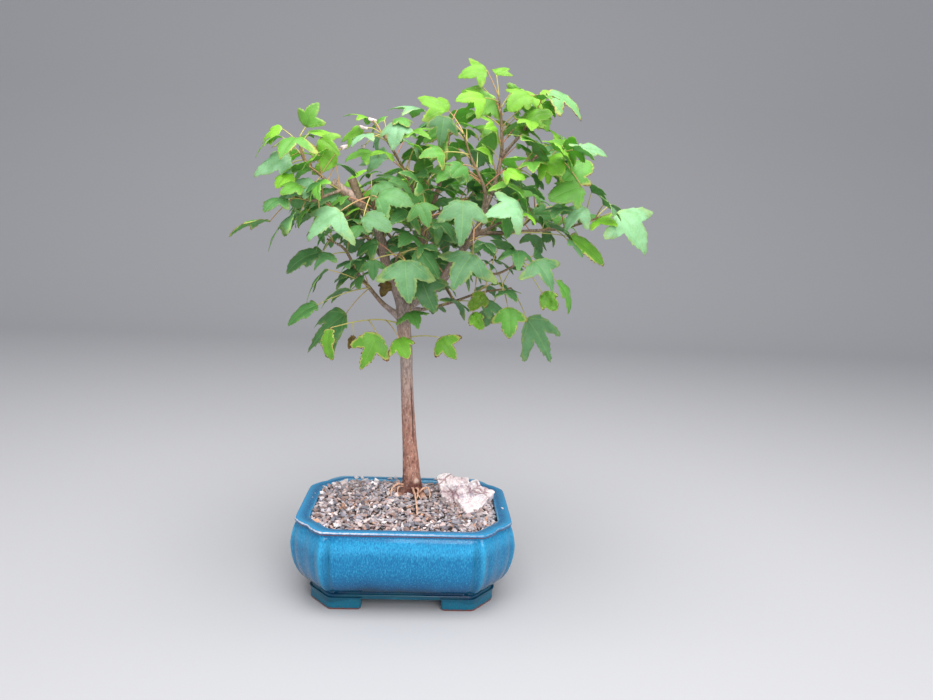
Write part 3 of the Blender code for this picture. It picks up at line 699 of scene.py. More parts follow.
@dataclass(frozen=True)
class Stone(Look):
    """Gravel chips of mixed kinds: each chip's kind and tone are kept on its mesh."""

    name: str = "mixed_gravel"
    colours: tuple = (
        (0.200, 0.195, 0.230), (0.34, 0.33, 0.385), (0.52, 0.49, 0.53), (0.36, 0.245, 0.215),
        (0.56, 0.42, 0.39), (0.60, 0.345, 0.240), (0.70, 0.60, 0.59), (0.88, 0.83, 0.85),
        (0.60, 0.46, 0.455), (0.44, 0.375, 0.38),
    )
    dust: tuple = (0.70, 0.66, 0.62)

    def dress(self, finish: Finish, paint: Painter, point: bpy.types.NodeSocket,
              effects: SharedEffects) -> None:
        """Paints each chip in its kind's colour and its own tone, with grain and dust."""
        count = len(self.colours)
        stops = [(i / count, colour) for i, colour in enumerate(self.colours)]
        colour = paint.ramp(paint.trait("kind"), stops, "CONSTANT")
        colour = paint.tinted(colour, paint.trait("tone"), (0.66, 0.65, 0.66), (1.28, 1.26, 1.25))
        grain = effects.tone(paint, point, 420, 5)
        colour = paint.tinted(colour, grain, (0.72, 0.71, 0.70), (1.22, 1.21, 1.20))
        colour = paint.over(colour, self.dust, effects.spots(paint, point, 1100, 0.22, 0.35), 0.45)
        finish.set(Base_Color=colour, Roughness=paint.span(grain, 0, 1, 0.62, 0.92))
        finish.bump(grain, 0.0004, 0.7)


@dataclass(frozen=True)
class DarkGritBed(Look):
    """The dark, gritty bed that shows between the chips, and the potting soil under it; between the chips its dark
    colour is partly painted shade.
    """

    name: str
    dark: tuple = (0.018, 0.014, 0.012)
    light: tuple = (0.10, 0.075, 0.06)
    crumb: tuple = (0.20, 0.15, 0.11)

    def dress(self, finish: Finish, paint: Painter, point: bpy.types.NodeSocket,
              effects: SharedEffects) -> None:
        """Paints dark grit with paler crumbs."""
        grit = effects.tone(paint, point, 350, 4)
        # Dark grit: between the chips this is partly painted shade.
        colour = paint.mix(grit, self.dark, self.light)
        colour = paint.over(colour, self.crumb, effects.spots(paint, point, 700, 0.2, 0.4), 0.5)
        finish.set(Base_Color=colour, Roughness=0.95)
        finish.bump(grit, 0.0012, 1.0)


@dataclass(frozen=True)
class Quartz(Look):
    """Broken pinkish-white quartz with brown and purple-grey veins, and grey and pink in its clefts that is partly
    staining and partly painted shade.
    """

    name: str = "pinkish_quartz"
    white: tuple = (0.99, 0.95, 0.95)
    pink: tuple = (0.90, 0.73, 0.73)
    vein: tuple = (0.26, 0.11, 0.12)
    grey: tuple = (0.30, 0.26, 0.34)
    stain: tuple = (0.52, 0.29, 0.27)

    def dress(self, finish: Finish, paint: Painter, point: bpy.types.NodeSocket,
              effects: SharedEffects) -> None:
        """Paints the clouded stone, its stains, its dark crag, the veins that wander over it, and grey and pink in
        its clefts, partly painted shade.
        """
        cloud = paint.noise(point, 62, 4.0, 0.6)
        colour = paint.mix(paint.span(cloud, 0.46, 0.66), self.white, self.pink)
        wander = paint.add("TexNoise", {"Vector": point, "Scale": 70, "Detail": 3}).outputs["Color"]
        bend = paint.add("VectorMath", {0: wander, "Scale": 0.012}, operation="SCALE").outputs[0]
        warped = paint.add("VectorMath", {0: point, 1: bend}, operation="ADD").outputs[0]
        seams = paint.add("TexVoronoi", {"Vector": warped, "Scale": 80},
                          feature="DISTANCE_TO_EDGE").outputs["Distance"]
        line = paint.span(seams, 0.02, 0.11, 1.0, 0.0)
        patch = paint.span(paint.noise(point, 48, 3.0), 0.44, 0.54)
        stain = paint.span(paint.noise(warped, 130, 5.0, 0.7), 0.50, 0.60)
        colour = paint.over(colour, self.stain, stain, 0.20)
        crag = paint.times(paint.trait("crag"), paint.span(paint.noise(point, 150, 4.0, 0.7), 0.42, 0.58))
        dark = paint.mix(paint.span(paint.noise(point, 260, 3.0), 0.45, 0.55), self.grey, self.vein)
        colour = paint.over(colour, dark, crag, 0.90)
        colour = paint.over(colour, self.vein, paint.times(line, patch), 0.80)
        # Grey and pink in the clefts: partly staining, partly painted shade.
        shaded_cleft = paint.trait("shaded_cleft")
        colour = paint.over(colour, self.grey, paint.times(shaded_cleft, patch), 0.7)
        colour = paint.over(colour, self.pink, shaded_cleft, 0.45)
        grain = effects.tone(paint, point, 380, 4)
        colour = paint.tinted(colour, grain, (0.86, 0.84, 0.84), (1.06, 1.06, 1.06))
        glints = effects.spots(paint, point, 600, 0.10, 0.45)
        rough = paint.minus(paint.span(grain, 0, 1, 0.42, 0.68), paint.times(glints, 0.25))
        finish.set(Base_Color=colour, Roughness=rough)
        finish.bump(paint.plus(paint.times(grain, 0.6), paint.times(line, -0.5)), 0.0007, 0.6)


@dataclass(frozen=True)
class Bark(Look):
    """Maple bark: grey-brown and finely cracked when old, reddish at the foot, olive on young twigs."""

    foot_height: float
    name: str = "maple_bark"
    grey: tuple = (0.36, 0.275, 0.250)
    brown: tuple = (0.385, 0.180, 0.132)
    red: tuple = (0.085, 0.017, 0.011)
    young: tuple = (0.165, 0.118, 0.036)
    pink: tuple = (0.52, 0.300, 0.225)
    root: tuple = (0.86, 0.520, 0.360)
    scar: tuple = (0.68, 0.500, 0.420)
    spot: tuple = (0.68, 0.54, 0.46)
    crack: tuple = (0.05, 0.022, 0.018)

    def dress(self, finish: Finish, paint: Painter, point: bpy.types.NodeSocket,
              effects: SharedEffects) -> None:
        """Paints old and young bark, bare roots and scars, then cracks, spots and pits over all."""
        height = paint.minus(paint.axis(point, "Z"), self.foot_height)
        cracks = paint.noise(paint.place((1, 1, 0.30)), 620, 4.0, 0.65)
        patches = effects.tone(paint, point, 60, 6)
        climb = paint.plus(height, paint.times(paint.span(patches, 0, 1, -0.8, 0.8),
                                               paint.span(height, 0.0, 0.05, 0.006, 0.030)))
        old = paint.ramp(paint.span(climb, 0.0, 0.15), (
            (0.0, self.red), (0.09, self.red), (0.19, self.brown), (0.45, self.brown),
            (0.80, self.grey), (1.0, self.grey)))
        old = paint.mix(paint.span(patches, 0.35, 0.9, 0.0, 0.45), old, self.pink)
        twig = paint.mix(paint.span(patches, 0.3, 1.0, 0.0, 0.45), self.young, self.pink)
        colour = paint.mix(paint.trait("youth"), old, twig)
        colour = paint.mix(paint.trait("bare_root"), colour, self.root)
        colour = paint.mix(paint.trait("scar"), colour, self.scar)
        colour = paint.tinted(colour, cracks, (0.30, (0.45, 0.42, 0.40)), (0.48, (0.95, 0.95, 0.95)),
                              (0.70, (1.35, 1.33, 1.30)))
        spots = effects.spots(paint, paint.place((1, 1, 0.6)), 520, 0.30, 0.36)
        colour = paint.over(colour, self.spot, spots, 0.58)
        pits = effects.spots(paint, paint.place((1, 1, 0.35)), 610, 0.22, 0.30)
        colour = paint.over(colour, self.crack, pits, 0.65)
        colour = paint.mix(paint.trait("fissure"), colour, self.crack)
        finish.set(Base_Color=colour, Roughness=paint.span(cracks, 0.3, 0.7, 0.85, 0.62))
        finish.bump(paint.plus(paint.times(cracks, 0.8), paint.times(spots, 0.4)), 0.0008, 0.8)


@dataclass(frozen=True)
class LeafGreen(Look):
    """Maple leaf tissue. Each leaf keeps its own glow, which is partly painted light, its painted sheen, scorch and
    tone on its mesh.
    """

    name: str = "maple_leaf"
    shadow: tuple = (0.045, 0.170, 0.040)
    green: tuple = (0.075, 0.290, 0.040)
    fresh: tuple = (0.160, 0.480, 0.035)
    lime: tuple = (0.300, 0.680, 0.035)
    # The colour of the painted reflection on glossy leaves.
    painted_sheen: tuple = (0.440, 0.750, 0.490)
    under: tuple = (0.200, 0.420, 0.170)
    vein: tuple = (0.420, 0.640, 0.220)
    cream: tuple = (0.780, 0.800, 0.240)
    brown: tuple = (0.260, 0.085, 0.040)
    dead: tuple = ((0.10, 0.035, 0.02), (0.36, 0.20, 0.06))
    lobe_angle: float = math.radians(52)
    light_through: float = 0.36

    def dress(self, finish: Finish, paint: Painter, point: bpy.types.NodeSocket,
              effects: SharedEffects) -> None:
        """Paints the tissue, lighter or darker by its glow in part as painted light, its painted sheen, its veins,
        its pale underside and its scorched margin, and lets light through.
        """
        flat = paint.add("UVMap", uv_map="blade").outputs[0]
        across = paint.math("ABSOLUTE", paint.minus(paint.axis(flat, "X"), 0.5))
        along = paint.axis(flat, "Y")
        # From shadow to lime by glow: partly the leaves' own colours, partly painted shade inside the crown and
        # painted light on its top.
        colour = paint.ramp(paint.trait("glow"), (
            (0.0, self.shadow), (0.35, self.green), (0.65, self.fresh), (1.0, self.lime)))
        colour = paint.tinted(colour, paint.trait("tone"), (0.72, 0.78, 0.72), (1.28, 1.20, 1.15))
        patches = effects.tone(paint, point, 110, 7)
        colour = paint.tinted(colour, patches, (0.80, 0.82, 0.80), (1.20, 1.16, 1.15))
        # A pale painted reflection on the glossy leaves.
        sheen = paint.times(paint.trait("painted_sheen"), paint.span(patches, 0.1, 0.9, 0.60, 1.0))
        colour = paint.mix(sheen, colour, self.painted_sheen)
        slant = paint.minus(paint.times(across, math.cos(self.lobe_angle)),
                            paint.times(along, math.sin(self.lobe_angle)))
        middle = paint.span(across, 0.004, 0.016, 1.0, 0.0)
        side = paint.span(paint.math("ABSOLUTE", slant), 0.004, 0.014, 1.0, 0.0)
        fine = paint.math("PINGPONG", paint.minus(along, paint.times(across, 0.85)), 0.055)
        rungs = paint.times(paint.span(fine, 0.0, 0.012, 1.0, 0.0), 0.22)
        veins = paint.most(paint.most(middle, side), rungs)
        colour = paint.over(colour, self.vein, veins, 0.30)
        colour = paint.over(colour, self.under, paint.trait("underside"), 0.50)
        scorch = paint.trait("scorch")
        edge = paint.plus(paint.trait("margin"), paint.minus(paint.noise(point, 240, 3.0, 0.6), 0.5))
        rim = paint.span(edge, 0.38, 0.86)
        colour = paint.over(colour, self.cream, rim, paint.span(scorch, 0.0, 0.8, 0.16, 1.0))
        burnt = paint.span(edge, 0.78, 1.04)
        colour = paint.over(colour, self.brown, burnt, paint.span(scorch, 0.25, 0.8))
        colour = paint.mix(paint.trait("dead"), colour, paint.mix(patches, *self.dead))
        rough = paint.minus(paint.span(patches, 0, 1, 0.36, 0.52), paint.times(sheen, 0.08))
        finish.set(Base_Color=colour, Roughness=rough, IOR=1.45)
        finish.bump(paint.minus(paint.times(patches, 0.35), paint.times(veins, 0.65)), 0.0005, 0.6)
        glow = paint.mix(1.0, colour, (1.15, 1.20, 0.55), "MULTIPLY")
        through = paint.add("BsdfTranslucent", {"Color": glow})
        both = paint.add("MixShader", {0: self.light_through, 1: finish.shader.outputs[0],
                                       2: through.outputs[0]})
        paint.feed(finish.output.inputs["Surface"], both.outputs[0])


@dataclass(frozen=True)
class StalkGreen(Look):
    """Leaf stalks, from yellow-green to pinkish red."""

    name: str = "leaf_stalk"
    yellow: tuple = (0.50, 0.46, 0.13)
    pink: tuple = (0.60, 0.24, 0.15)

    def dress(self, finish: Finish, paint: Painter, point: bpy.types.NodeSocket,
              effects: SharedEffects) -> None:
        """Paints each stalk by its own blush, in soft patches."""
        patches = effects.tone(paint, point, 140, 6)
        blush = paint.plus(paint.trait("blush"), paint.span(patches, 0, 1, -0.2, 0.2), clamp=True)
        finish.set(Base_Color=paint.mix(blush, self.yellow, self.pink), Roughness=0.5)
        finish.bump(patches, 0.0002, 0.4)


@dataclass(frozen=True)
class PlainPart(Look):
    """A small part's finish, with a fine grain."""

    name: str
    colour: tuple
    roughness: float
    metallic: float = 0.0

    def dress(self, finish: Finish, paint: Painter, point: bpy.types.NodeSocket,
              effects: SharedEffects) -> None:
        """Paints the colour a little darker and lighter with the grain."""
        grain = effects.tone(paint, point, 500, 5)
        low = tuple(value * 0.75 for value in self.colour)
        high = tuple(min(1.0, value * 1.3) for value in self.colour)
        finish.set(Base_Color=paint.mix(grain, low, high), Metallic=self.metallic,
                   Roughness=paint.span(grain, 0, 1, self.roughness - 0.08, self.roughness + 0.08))
        finish.bump(grain, 0.0001, 0.5)


# ---------------------------------------------------------------- pot


@dataclass(frozen=True)
class Level:
    """One level of the pot's wall: its offset from the rim's outer edge, its height and what shows there."""

    offset: float
    height: float
    relief: float = 0.0
    wear: float = 0.0
    # glow is a painted highlight on the rim's top and inner edge; pale is a painted highlight line along the lip,
    # partly thinned glaze.
    glow: float = 0.0
    pale: float = 0.0


@dataclass
class Pot:
    """The glazed pot: a rectangle with cut corners, soft ribs on its corners, a flat rim and four feet."""

    width: float = 0.200
    depth: float = 0.160
    height: float = 0.0795
    corner_cut_x: float = 0.027
    corner_cut_y: float = 0.033
    belly_bulge: float = 0.0032
    belly_share: float = 0.66
    cove_inset: float = 0.0175
    band_inset: float = 0.0155
    band_height: float = 0.0050
    cove_height: float = 0.0025
    foot_height: float = 0.0095
    foot_width: float = 0.0105
    foot_front_run: float = 0.028
    foot_side_run: float = 0.012
    lip_height: float = 0.0036
    rim_width: float = 0.0090
    rim_fall: float = 0.0005
    side_rim_extra: float = 0.0032
    rim_sag: float = 0.0013
    body_sag: float = 0.0004
    wall: float = 0.0066
    floor_thickness: float = 0.0072
    rib_height: float = 0.0027
    rib_reach: float = 0.014
    body_round: float = 0.35
    drain_radius: float = 0.0080
    drain_from_end: float = 0.052
    rim_round: float = 0.47
    corner_steps: int = 23
    edge_steps: int = 6
    centre: Vector = field(default_factory=Vector)

    def __post_init__(self) -> None:
        """Works out the heights that depend on others."""
        self.band_top = self.foot_height + self.band_height
        self.floor_top = self.foot_height + self.floor_thickness
        self.lip_bottom = self.height - self.lip_height
        cove_top = self.band_top + self.cove_height
        self.cove_top = cove_top
        self.belly_height = cove_top + self.belly_share * (self.lip_bottom - cove_top)

    def corners(self, offset: float, narrow: float = 0.0) -> list[Vector]:
        """The eight corners of the cut-corner rectangle, moved out by the offset, anticlockwise.

        Args:
            offset: How far out the corners move from the rim's outer edge.
            narrow: How much narrower the rectangle is at each end.

        Returns:
            The corners, flat, from the pot's middle.
        """
        half_width, half_depth = self.width / 2 - narrow, self.depth / 2
        quarter = ((half_width, half_depth - self.corner_cut_y), (half_width - self.corner_cut_x, half_depth))
        places = [Vector(spot) for spot in quarter]
        places += [Vector((-x, y)) for x, y in reversed(quarter)]
        places += [Vector((-x, -y)) for x, y in quarter]
        places += [Vector((x, -y)) for x, y in reversed(quarter)]
        moved = []
        for i, corner in enumerate(places):
            before = (corner - places[i - 1]).normalized()
            after = (places[(i + 1) % 8] - corner).normalized()
            out_before = Vector((before.y, -before.x))
            out_after = Vector((after.y, -after.x))
            moved.append(corner + (out_before + out_after) * offset / (1 + out_before.dot(out_after)))
        return moved

    @staticmethod
    def rib(share: float, panel_first: bool) -> float:
        """How far a corner stands out: a round rib, with a groove between it and the long panel.

        Args:
            share: Where along the corner, from 0 to 1.
            panel_first: Whether the panel lies before the corner and the cut after it.

        Returns:
            The height, where 1 is the rib's crest.
        """
        across = share if panel_first else 1 - share
        crest = math.exp(-((across - 0.43) / 0.13) ** 2)
        groove = math.exp(-((across - 0.20) / 0.075) ** 2)
        hollow = math.exp(-((across - 0.72) / 0.10) ** 2)
        return 0.65 * crest - 1.0 * groove - 0.30 * hollow

    def outline(self, offset: float, relief: float = 0.0, sag: float = 0.0, roundness: float = 0.3,
                narrow: float = 0.0) -> list[Vector]:
        """The pot's outline at one level.

        Args:
            offset: How far out it lies from the rim's outer edge.
            relief: How far the corner ribs stand out, from 0 to 1.
            sag: How far the cut corners' sides curve in.
            roundness: How much of the shortest side a corner's curve may take up.
            narrow: How much narrower the outline is at each end.

        Returns:
            The outline's points, flat, from the pot's middle.
        """
        corners = self.corners(offset, narrow)
        shortest = min((corners[i] - corners[i - 1]).length for i in range(8))
        reach = min(self.rib_reach * roundness / 0.3, roundness * shortest)
        points = []
        for i, corner in enumerate(corners):
            before = (corners[i - 1] - corner).normalized()
            after = (corners[(i + 1) % 8] - corner).normalized()
            outward = -(before + after).normalized()
            for step in range(self.corner_steps):
                t = step / (self.corner_steps - 1)
                start, end = corner + before * reach, corner + after * reach
                spot = start * (1 - t) ** 3 + corner * 3 * t * (1 - t) + end * t ** 3
                points.append(spot + outward * self.rib_height * relief * self.rib(t, i % 2 == 0))
            end = corner + after * reach
            following = corners[(i + 1) % 8]
            start = following + (corner - following).normalized() * reach
            inward = Vector((-after.y, after.x))
            hollow = sag if i % 2 == 0 else 0.0
            for step in range(1, self.edge_steps):
                t = step / self.edge_steps
                points.append(end.lerp(start, t) + inward * hollow * math.sin(math.pi * t))
        return points

    def profile(self) -> list[Level]:
        """The levels of the wall, from the underside up the outside, over the rim and down the inside.

        Returns:
            The levels, with rib relief, wear, and painted highlights: glow on the rim and paleness along the lip.
        """
        band, top, low = -self.band_inset, self.height, self.lip_bottom
        levels = [
            (band - 0.0008, self.foot_height, 0.0, 0.3),
            (band, self.foot_height + 0.0006, 0.0, 0.55),
            (band + 0.0001, self.foot_height + 0.0012),
            (band + 0.0001, self.band_top - 0.0012),
            (band - 0.0004, self.band_top - 0.0004, 0.0, 0.45),
            (band - 0.0014, self.band_top),
        ]
        steps = 14
        for step in range(steps + 1):
            turn = math.pi / 2 * step / steps
            offset = -self.cove_inset + (self.belly_bulge + self.cove_inset) * math.sin(turn)
            height = self.cove_top + (self.belly_height - self.cove_top) * (1 - math.cos(turn))
            levels.append((offset, height, 0.35 + 0.65 * step / steps))
        shoulder = low - 0.0008
        for share, bulge in ((0.2, 0.95), (0.4, 0.82), (0.6, 0.62), (0.78, 0.38), (0.92, 0.12), (1.0, -0.12)):
            height = self.belly_height + share * (shoulder - self.belly_height)
            levels.append((self.belly_bulge * bulge, height, 1 - 0.75 * share))
        levels += [
            (-0.0003, low - 0.0002, 0.20, 0.35),
            (0.0003, low + 0.0004, 0.15, 1.00),
            (0.0008, low + 0.0009, 0.12, 0.95),
            (0.0009, low + 0.0015, 0.10, 0.25, 0.1, 0.25),
            (0.0008, low + 0.0021, 0.09, 0.0, 0.2, 0.70),
            (0.0005, top - 0.0008, 0.08, 0.0, 0.3, 0.9),
            (-0.0003, top - 0.0002, 0.05, 0.0, 0.7, 0.35),
            (-0.0012, top, 0.0, 0.0, 0.95),
            (-0.0024, top - 0.0002, 0.0, 0.0, 0.75),
        ]
        self.crest_level = len(levels) - 1
        levels += [
            (-self.rim_width * 0.55, top - self.rim_fall * 0.55),
            (-self.rim_width + 0.0016, top - self.rim_fall * 0.85, 0.0, 0.0, 0.2),
            (-self.rim_width + 0.0006, top - self.rim_fall - 0.0002, 0.0, 0.10, 0.9, 0.15),
            (-self.rim_width, top - self.rim_fall - 0.0011, 0.0, 0.0, 0.9),
            (-self.rim_width, low - 0.0020, 0.0, 0.0, 0.8),
        ]
        wall_inset = self.wall - self.belly_bulge
        floor_inset = self.cove_inset + self.wall
        height = self.belly_height + 0.3 * (low - self.belly_height)
        levels.append((-wall_inset, height))
        for step in range(6, -1, -1):
            turn = math.pi / 2 * step / 6
            offset = -floor_inset + (floor_inset - wall_inset) * math.sin(turn)
            height = self.floor_top + (self.belly_height - self.floor_top) * (1 - math.cos(turn))
            levels.append((offset, height))
        return [Level(*values) for values in levels]

    def body(self) -> bpy.types.Object:
        """The pot's wall and floor, grown level by level from a ring at its underside.

        Returns:
            The wall and floor, in place, without feet or drains.
        """
        bm = bmesh.new()
        # The rim's and the lip's layers carry painted highlights; the groove layer paints shade in the rib grooves
        # and the crest layer a highlight on the rib crests, both partly glaze pooling and thinning.
        worn, glow, pale = layer(bm, "worn_edge"), layer(bm, "rim_highlight"), layer(bm, "lip_highlight")
        corner, pooled_and_shaded, crest = layer(bm, "corner_face"), layer(bm, "pooled_and_shaded"), layer(bm, "crest")
        levels = self.profile()
        count = len(self.outline(0.0))
        verts = bmesh.ops.create_circle(bm, cap_ends=False, segments=count, radius=1.0)["verts"]
        edges, order = list(bm.edges), {vert: i for i, vert in enumerate(verts)}
        for number, level in enumerate(levels):
            if number:
                edges, order = grow_ring(bm, edges, order)
            sag = self.rim_sag if level.height > self.lip_bottom - 0.001 else self.body_sag
            inner = number > self.crest_level
            curve = (sag, self.rim_round, self.side_rim_extra) if inner else (sag, self.body_round, 0.0)
            outline = self.outline(level.offset, level.relief, *curve)
            flat_outline = self.outline(level.offset, 0.0, *curve)
            for vert, index in order.items():
                spot = outline[index]
                vert.co = self.centre + Vector((spot.x, spot.y, level.height))
                vert[worn], vert[glow], vert[pale] = level.wear, level.glow, level.pale
                way = (outline[(index + 1) % count] - outline[index - 1]).normalized()
                vert[corner] = clamp((min(abs(way.x), abs(way.y)) - 0.12) / 0.50)
                proud = (spot - flat_outline[index]).dot(Vector((way.y, -way.x))) / self.rib_height
                vert[pooled_and_shaded] = clamp(-proud * 1.3)
                vert[crest] = clamp(proud * 1.6)
        close_ends(bm)
        return loose_object("glazed_pot", bm)

    def foot(self, mirror_x: int, mirror_y: int) -> bpy.types.Object:
        """One foot, bent around a cut corner, flared at its sole and softened along its edges.

        Args:
            mirror_x: 1 for a right foot and -1 for a left one.
            mirror_y: 1 for a front foot and -1 for a back one.

        Returns:
            The foot, in place.
        """
        outer = self.corners(-self.band_inset + 0.0003)
        inner = self.corners(-self.band_inset - self.foot_width)
        front_end = outer[6].x - self.foot_front_run
        side_end = outer[7].y + self.foot_side_run
        plan = [
            (front_end, outer[6].y), outer[6], outer[7], (outer[7].x, side_end),
            (inner[7].x, side_end), inner[7], inner[6], (front_end, inner[6].y),
        ]
        bm = bmesh.new()
        base = bm.faces.new([bm.verts.new((x * mirror_x, y * mirror_y, 0.0)) for x, y in plan])
        bmesh.ops.bevel(bm, geom=list(bm.verts), offset=0.0028, segments=4, profile=0.5, affect="VERTICES",
                        clamp_overlap=True, material=-1)
        base = bm.faces[:][0]
        middle = base.calc_center_median()
        region = [base]
        for rise, spread in ((0.0007, 1.030), (0.0010, 1.018), (0.0030, 1.000), (0.0032, 0.996), (0.0040, 1.06)):
            grown = bmesh.ops.extrude_face_region(bm, geom=region)["geom"]
            if region[0] is not base:
                bmesh.ops.delete(bm, geom=region, context="FACES_ONLY")
            top = [item for item in grown if isinstance(item, bmesh.types.BMVert)]
            region = [item for item in grown if isinstance(item, bmesh.types.BMFace)]
            bmesh.ops.translate(bm, verts=top, vec=(0, 0, rise))
            size = Matrix.Diagonal((spread, spread, 1, 1))
            bmesh.ops.transform(bm, verts=top, matrix=size, space=Matrix.Translation(-middle))
        bmesh.ops.recalc_face_normals(bm, faces=bm.faces)
        bmesh.ops.translate(bm, verts=bm.verts, vec=self.centre)
        return loose_object("foot", bm)

    def drill(self, side: int) -> bpy.types.Object:
        """The cylinder that cuts one drain hole.

        Args:
            side: 1 for the right hole and -1 for the left one.

        Returns:
            The cylinder, in place.
        """
        bm = bmesh.new()
        spot = self.centre + Vector((side * (self.width / 2 - self.drain_from_end), 0, self.floor_top / 2))
        bmesh.ops.create_cone(bm, cap_ends=True, segments=40, radius1=self.drain_radius,
                              radius2=self.drain_radius, depth=self.floor_top + 0.004,
                              matrix=Matrix.Translation(spot))
        return loose_object("drill", bm)

    def build(self, glaze: bpy.types.Material) -> None:
        """Builds and dresses the whole pot.

        Args:
            glaze: The pot's material.
        """
        pot = self.body()
        boolean(pot, [self.foot(x, y) for x in (-1, 1) for y in (-1, 1)], "UNION")
        boolean(pot, [self.drill(side) for side in (-1, 1)], "DIFFERENCE")
        pot.data.set_sharp_from_angle(angle=math.radians(50))
        hand_over(pot, [glaze], ["pot"])


# ---------------------------------------------------------------- gravel and rock


@dataclass
class Gravel:
    """The top dressing: a dark bed, and loose chips lying on it."""

    pot: Pot
    trunk: Vector
    rock: "QuartzRock"
    bare: list
    below_rim: float = GRAVEL_BELOW_RIM
    depth: float = 0.0075
    mound_height: float = MOUND_HEIGHT
    mound_width: float = 0.055
    calm_edge: float = 0.020
    front_slope: float = 0.018
    front_fall: float = 0.0029
    end_bank: float = 0.0012
    bed_drop: float = 0.0021
    heap_height: float = 0.0034
    heap_place: tuple = (-0.062, 0.046)
    heap_width: float = 0.055
    chip_kinds: int = 36
    spacing: float = 0.0043
    trunk_clearance: float = 0.0095
    root_clearance: float = 0.0017
    strays: tuple = (
        (-0.0765, 0.0490, 0.0060), (-0.0700, 0.0560, 0.0056), (-0.0650, 0.0615, 0.0062),
        (-0.0560, 0.0715, 0.0058), (-0.0500, 0.0725, 0.0052), (-0.0200, 0.0725, 0.0064),
        (-0.0130, 0.0732, 0.0050), (0.0310, 0.0728, 0.0055), (-0.0840, 0.0360, 0.0056),
        (0.0945, -0.0120, 0.0026), (-0.0915, 0.0200, 0.0016), (-0.0925, 0.0080, 0.0014),
    )
    seed: int = 41

    def level(self, x: float, y: float) -> float:
        """The height of the gravel's surface.

        Args:
            x: Across, in the scene.
            y: Back, in the scene.

        Returns:
            The height.
        """
        away = Vector((x - self.trunk.x, y - self.trunk.y))
        flat = Vector((x - self.pot.centre.x, y - self.pot.centre.y))
        edge = min(self.pot.width / 2 - abs(flat.x), self.pot.depth / 2 - abs(flat.y)) - self.pot.rim_width
        calm = clamp(edge / self.calm_edge)
        mound = self.mound_height * math.exp(-away.length_squared / self.mound_width ** 2)
        heap = flat - Vector(self.heap_place)
        piled = self.heap_height * math.exp(-heap.length_squared / self.heap_width ** 2)
        front = (flat.y + self.pot.depth / 2 - self.pot.rim_width) / self.front_slope
        fall = self.front_fall * (1 - clamp(front))
        ends = (self.pot.width / 2 - abs(flat.x) - self.pot.rim_width) / self.front_slope
        bank = self.end_bank * (1 - clamp(ends)) * (1 if flat.y > -0.03 else 0.4)
        return self.pot.height - self.below_rim + mound * calm + piled - fall + bank

    def bed(self, material: bpy.types.Material) -> None:
        """The bed that the chips lie on, which fills the top of the pot.

        Args:
            material: Its material.
        """
        bm = bmesh.new()
        pot = self.pot
        edge = pot.outline(-pot.rim_width - 0.0003, roundness=pot.rim_round, narrow=pot.side_rim_extra)
        low = pot.height - self.below_rim - self.depth + 0.0003
        rings = [(1.0, low), (1.0, None)] + [(1 - i / 9, None) for i in range(1, 9)]
        verts = bmesh.ops.create_circle(bm, segments=len(edge), radius=1.0)["verts"]
        edges, order = list(bm.edges), {vert: i for i, vert in enumerate(verts)}
        for number, (share, height) in enumerate(rings):
            if number:
                edges, order = grow_ring(bm, edges, order)
            for vert, index in order.items():
                spot = pot.centre + Vector((*(edge[index] * share), 0))
                top = self.level(spot.x, spot.y) - self.bed_drop
                vert.co = Vector((spot.x, spot.y, top if height is None else height))
        close_ends(bm)
        hand_over(loose_object("gravel_bed", bm), [material], ["gravel_top_dressing"])

    def chip(self, rng: random.Random) -> bpy.types.Mesh:
        """One angular chip about 1 m across, to be scaled.

        Args:
            rng: The source of its shape.

        Returns:
            Its mesh.
        """
        bm = bmesh.new()
        count = rng.randint(8, 11)
        for _ in range(count):
            way = Vector((rng.gauss(0, 1), rng.gauss(0, 1), rng.gauss(0, 1))).normalized()
            bm.verts.new(way * rng.uniform(0.40, 0.58))
        hull = bmesh.ops.convex_hull(bm, input=bm.verts)
        inside = [item for item in hull["geom_interior"] if isinstance(item, bmesh.types.BMVert)]
        bmesh.ops.delete(bm, geom=inside, context="VERTS")
        bmesh.ops.recalc_face_normals(bm, faces=bm.faces)
        layer(bm, "kind")
        layer(bm, "tone")
        mesh = bpy.data.meshes.new("chip")
        bm.to_mesh(mesh)
        bm.free()
        return mesh

    def inside(self, x: float, y: float, margin: float) -> bool:
        """Whether a spot lies inside the rim.

        Args:
            x: Across, in the scene.
            y: Back, in the scene.
            margin: How far inside it has to be.

        Returns:
            True if it does.
        """
        pot = self.pot
        dx, dy = abs(x - pot.centre.x), abs(y - pot.centre.y)
        corners = pot.corners(-pot.rim_width - margin, pot.side_rim_extra - 0.0012)
        right, top = corners[0], corners[1]
        if dx > right.x or dy > top.y:
            return False
        cut = (top.x - right.x, top.y - right.y)
        return cut[0] * (dy - right.y) - cut[1] * (dx - right.x) > 0

    def spots(self, rng: random.Random, spacing: float, margin: float) -> list[tuple[float, float]]:
        """Scattered spots inside the rim, on a jittered six-sided grid.

        Args:
            rng: The source of the jitter.
            spacing: The distance between neighbours.
            margin: How far from the rim they stay.

        Returns:
            The spots.
        """
        found = []
        rows = int(self.pot.depth / (spacing * 0.866)) + 1
        columns = int(self.pot.width / spacing) + 1
        for row in range(rows):
            for column in range(columns):
                x = (column + 0.5 * (row % 2)) * spacing - self.pot.width / 2
                y = row * spacing * 0.866 - self.pot.depth / 2
                x += self.pot.centre.x + rng.uniform(-0.42, 0.42) * spacing
                y += self.pot.centre.y + rng.uniform(-0.42, 0.42) * spacing
                if self.inside(x, y, margin):
                    found.append((x, y))
        return found

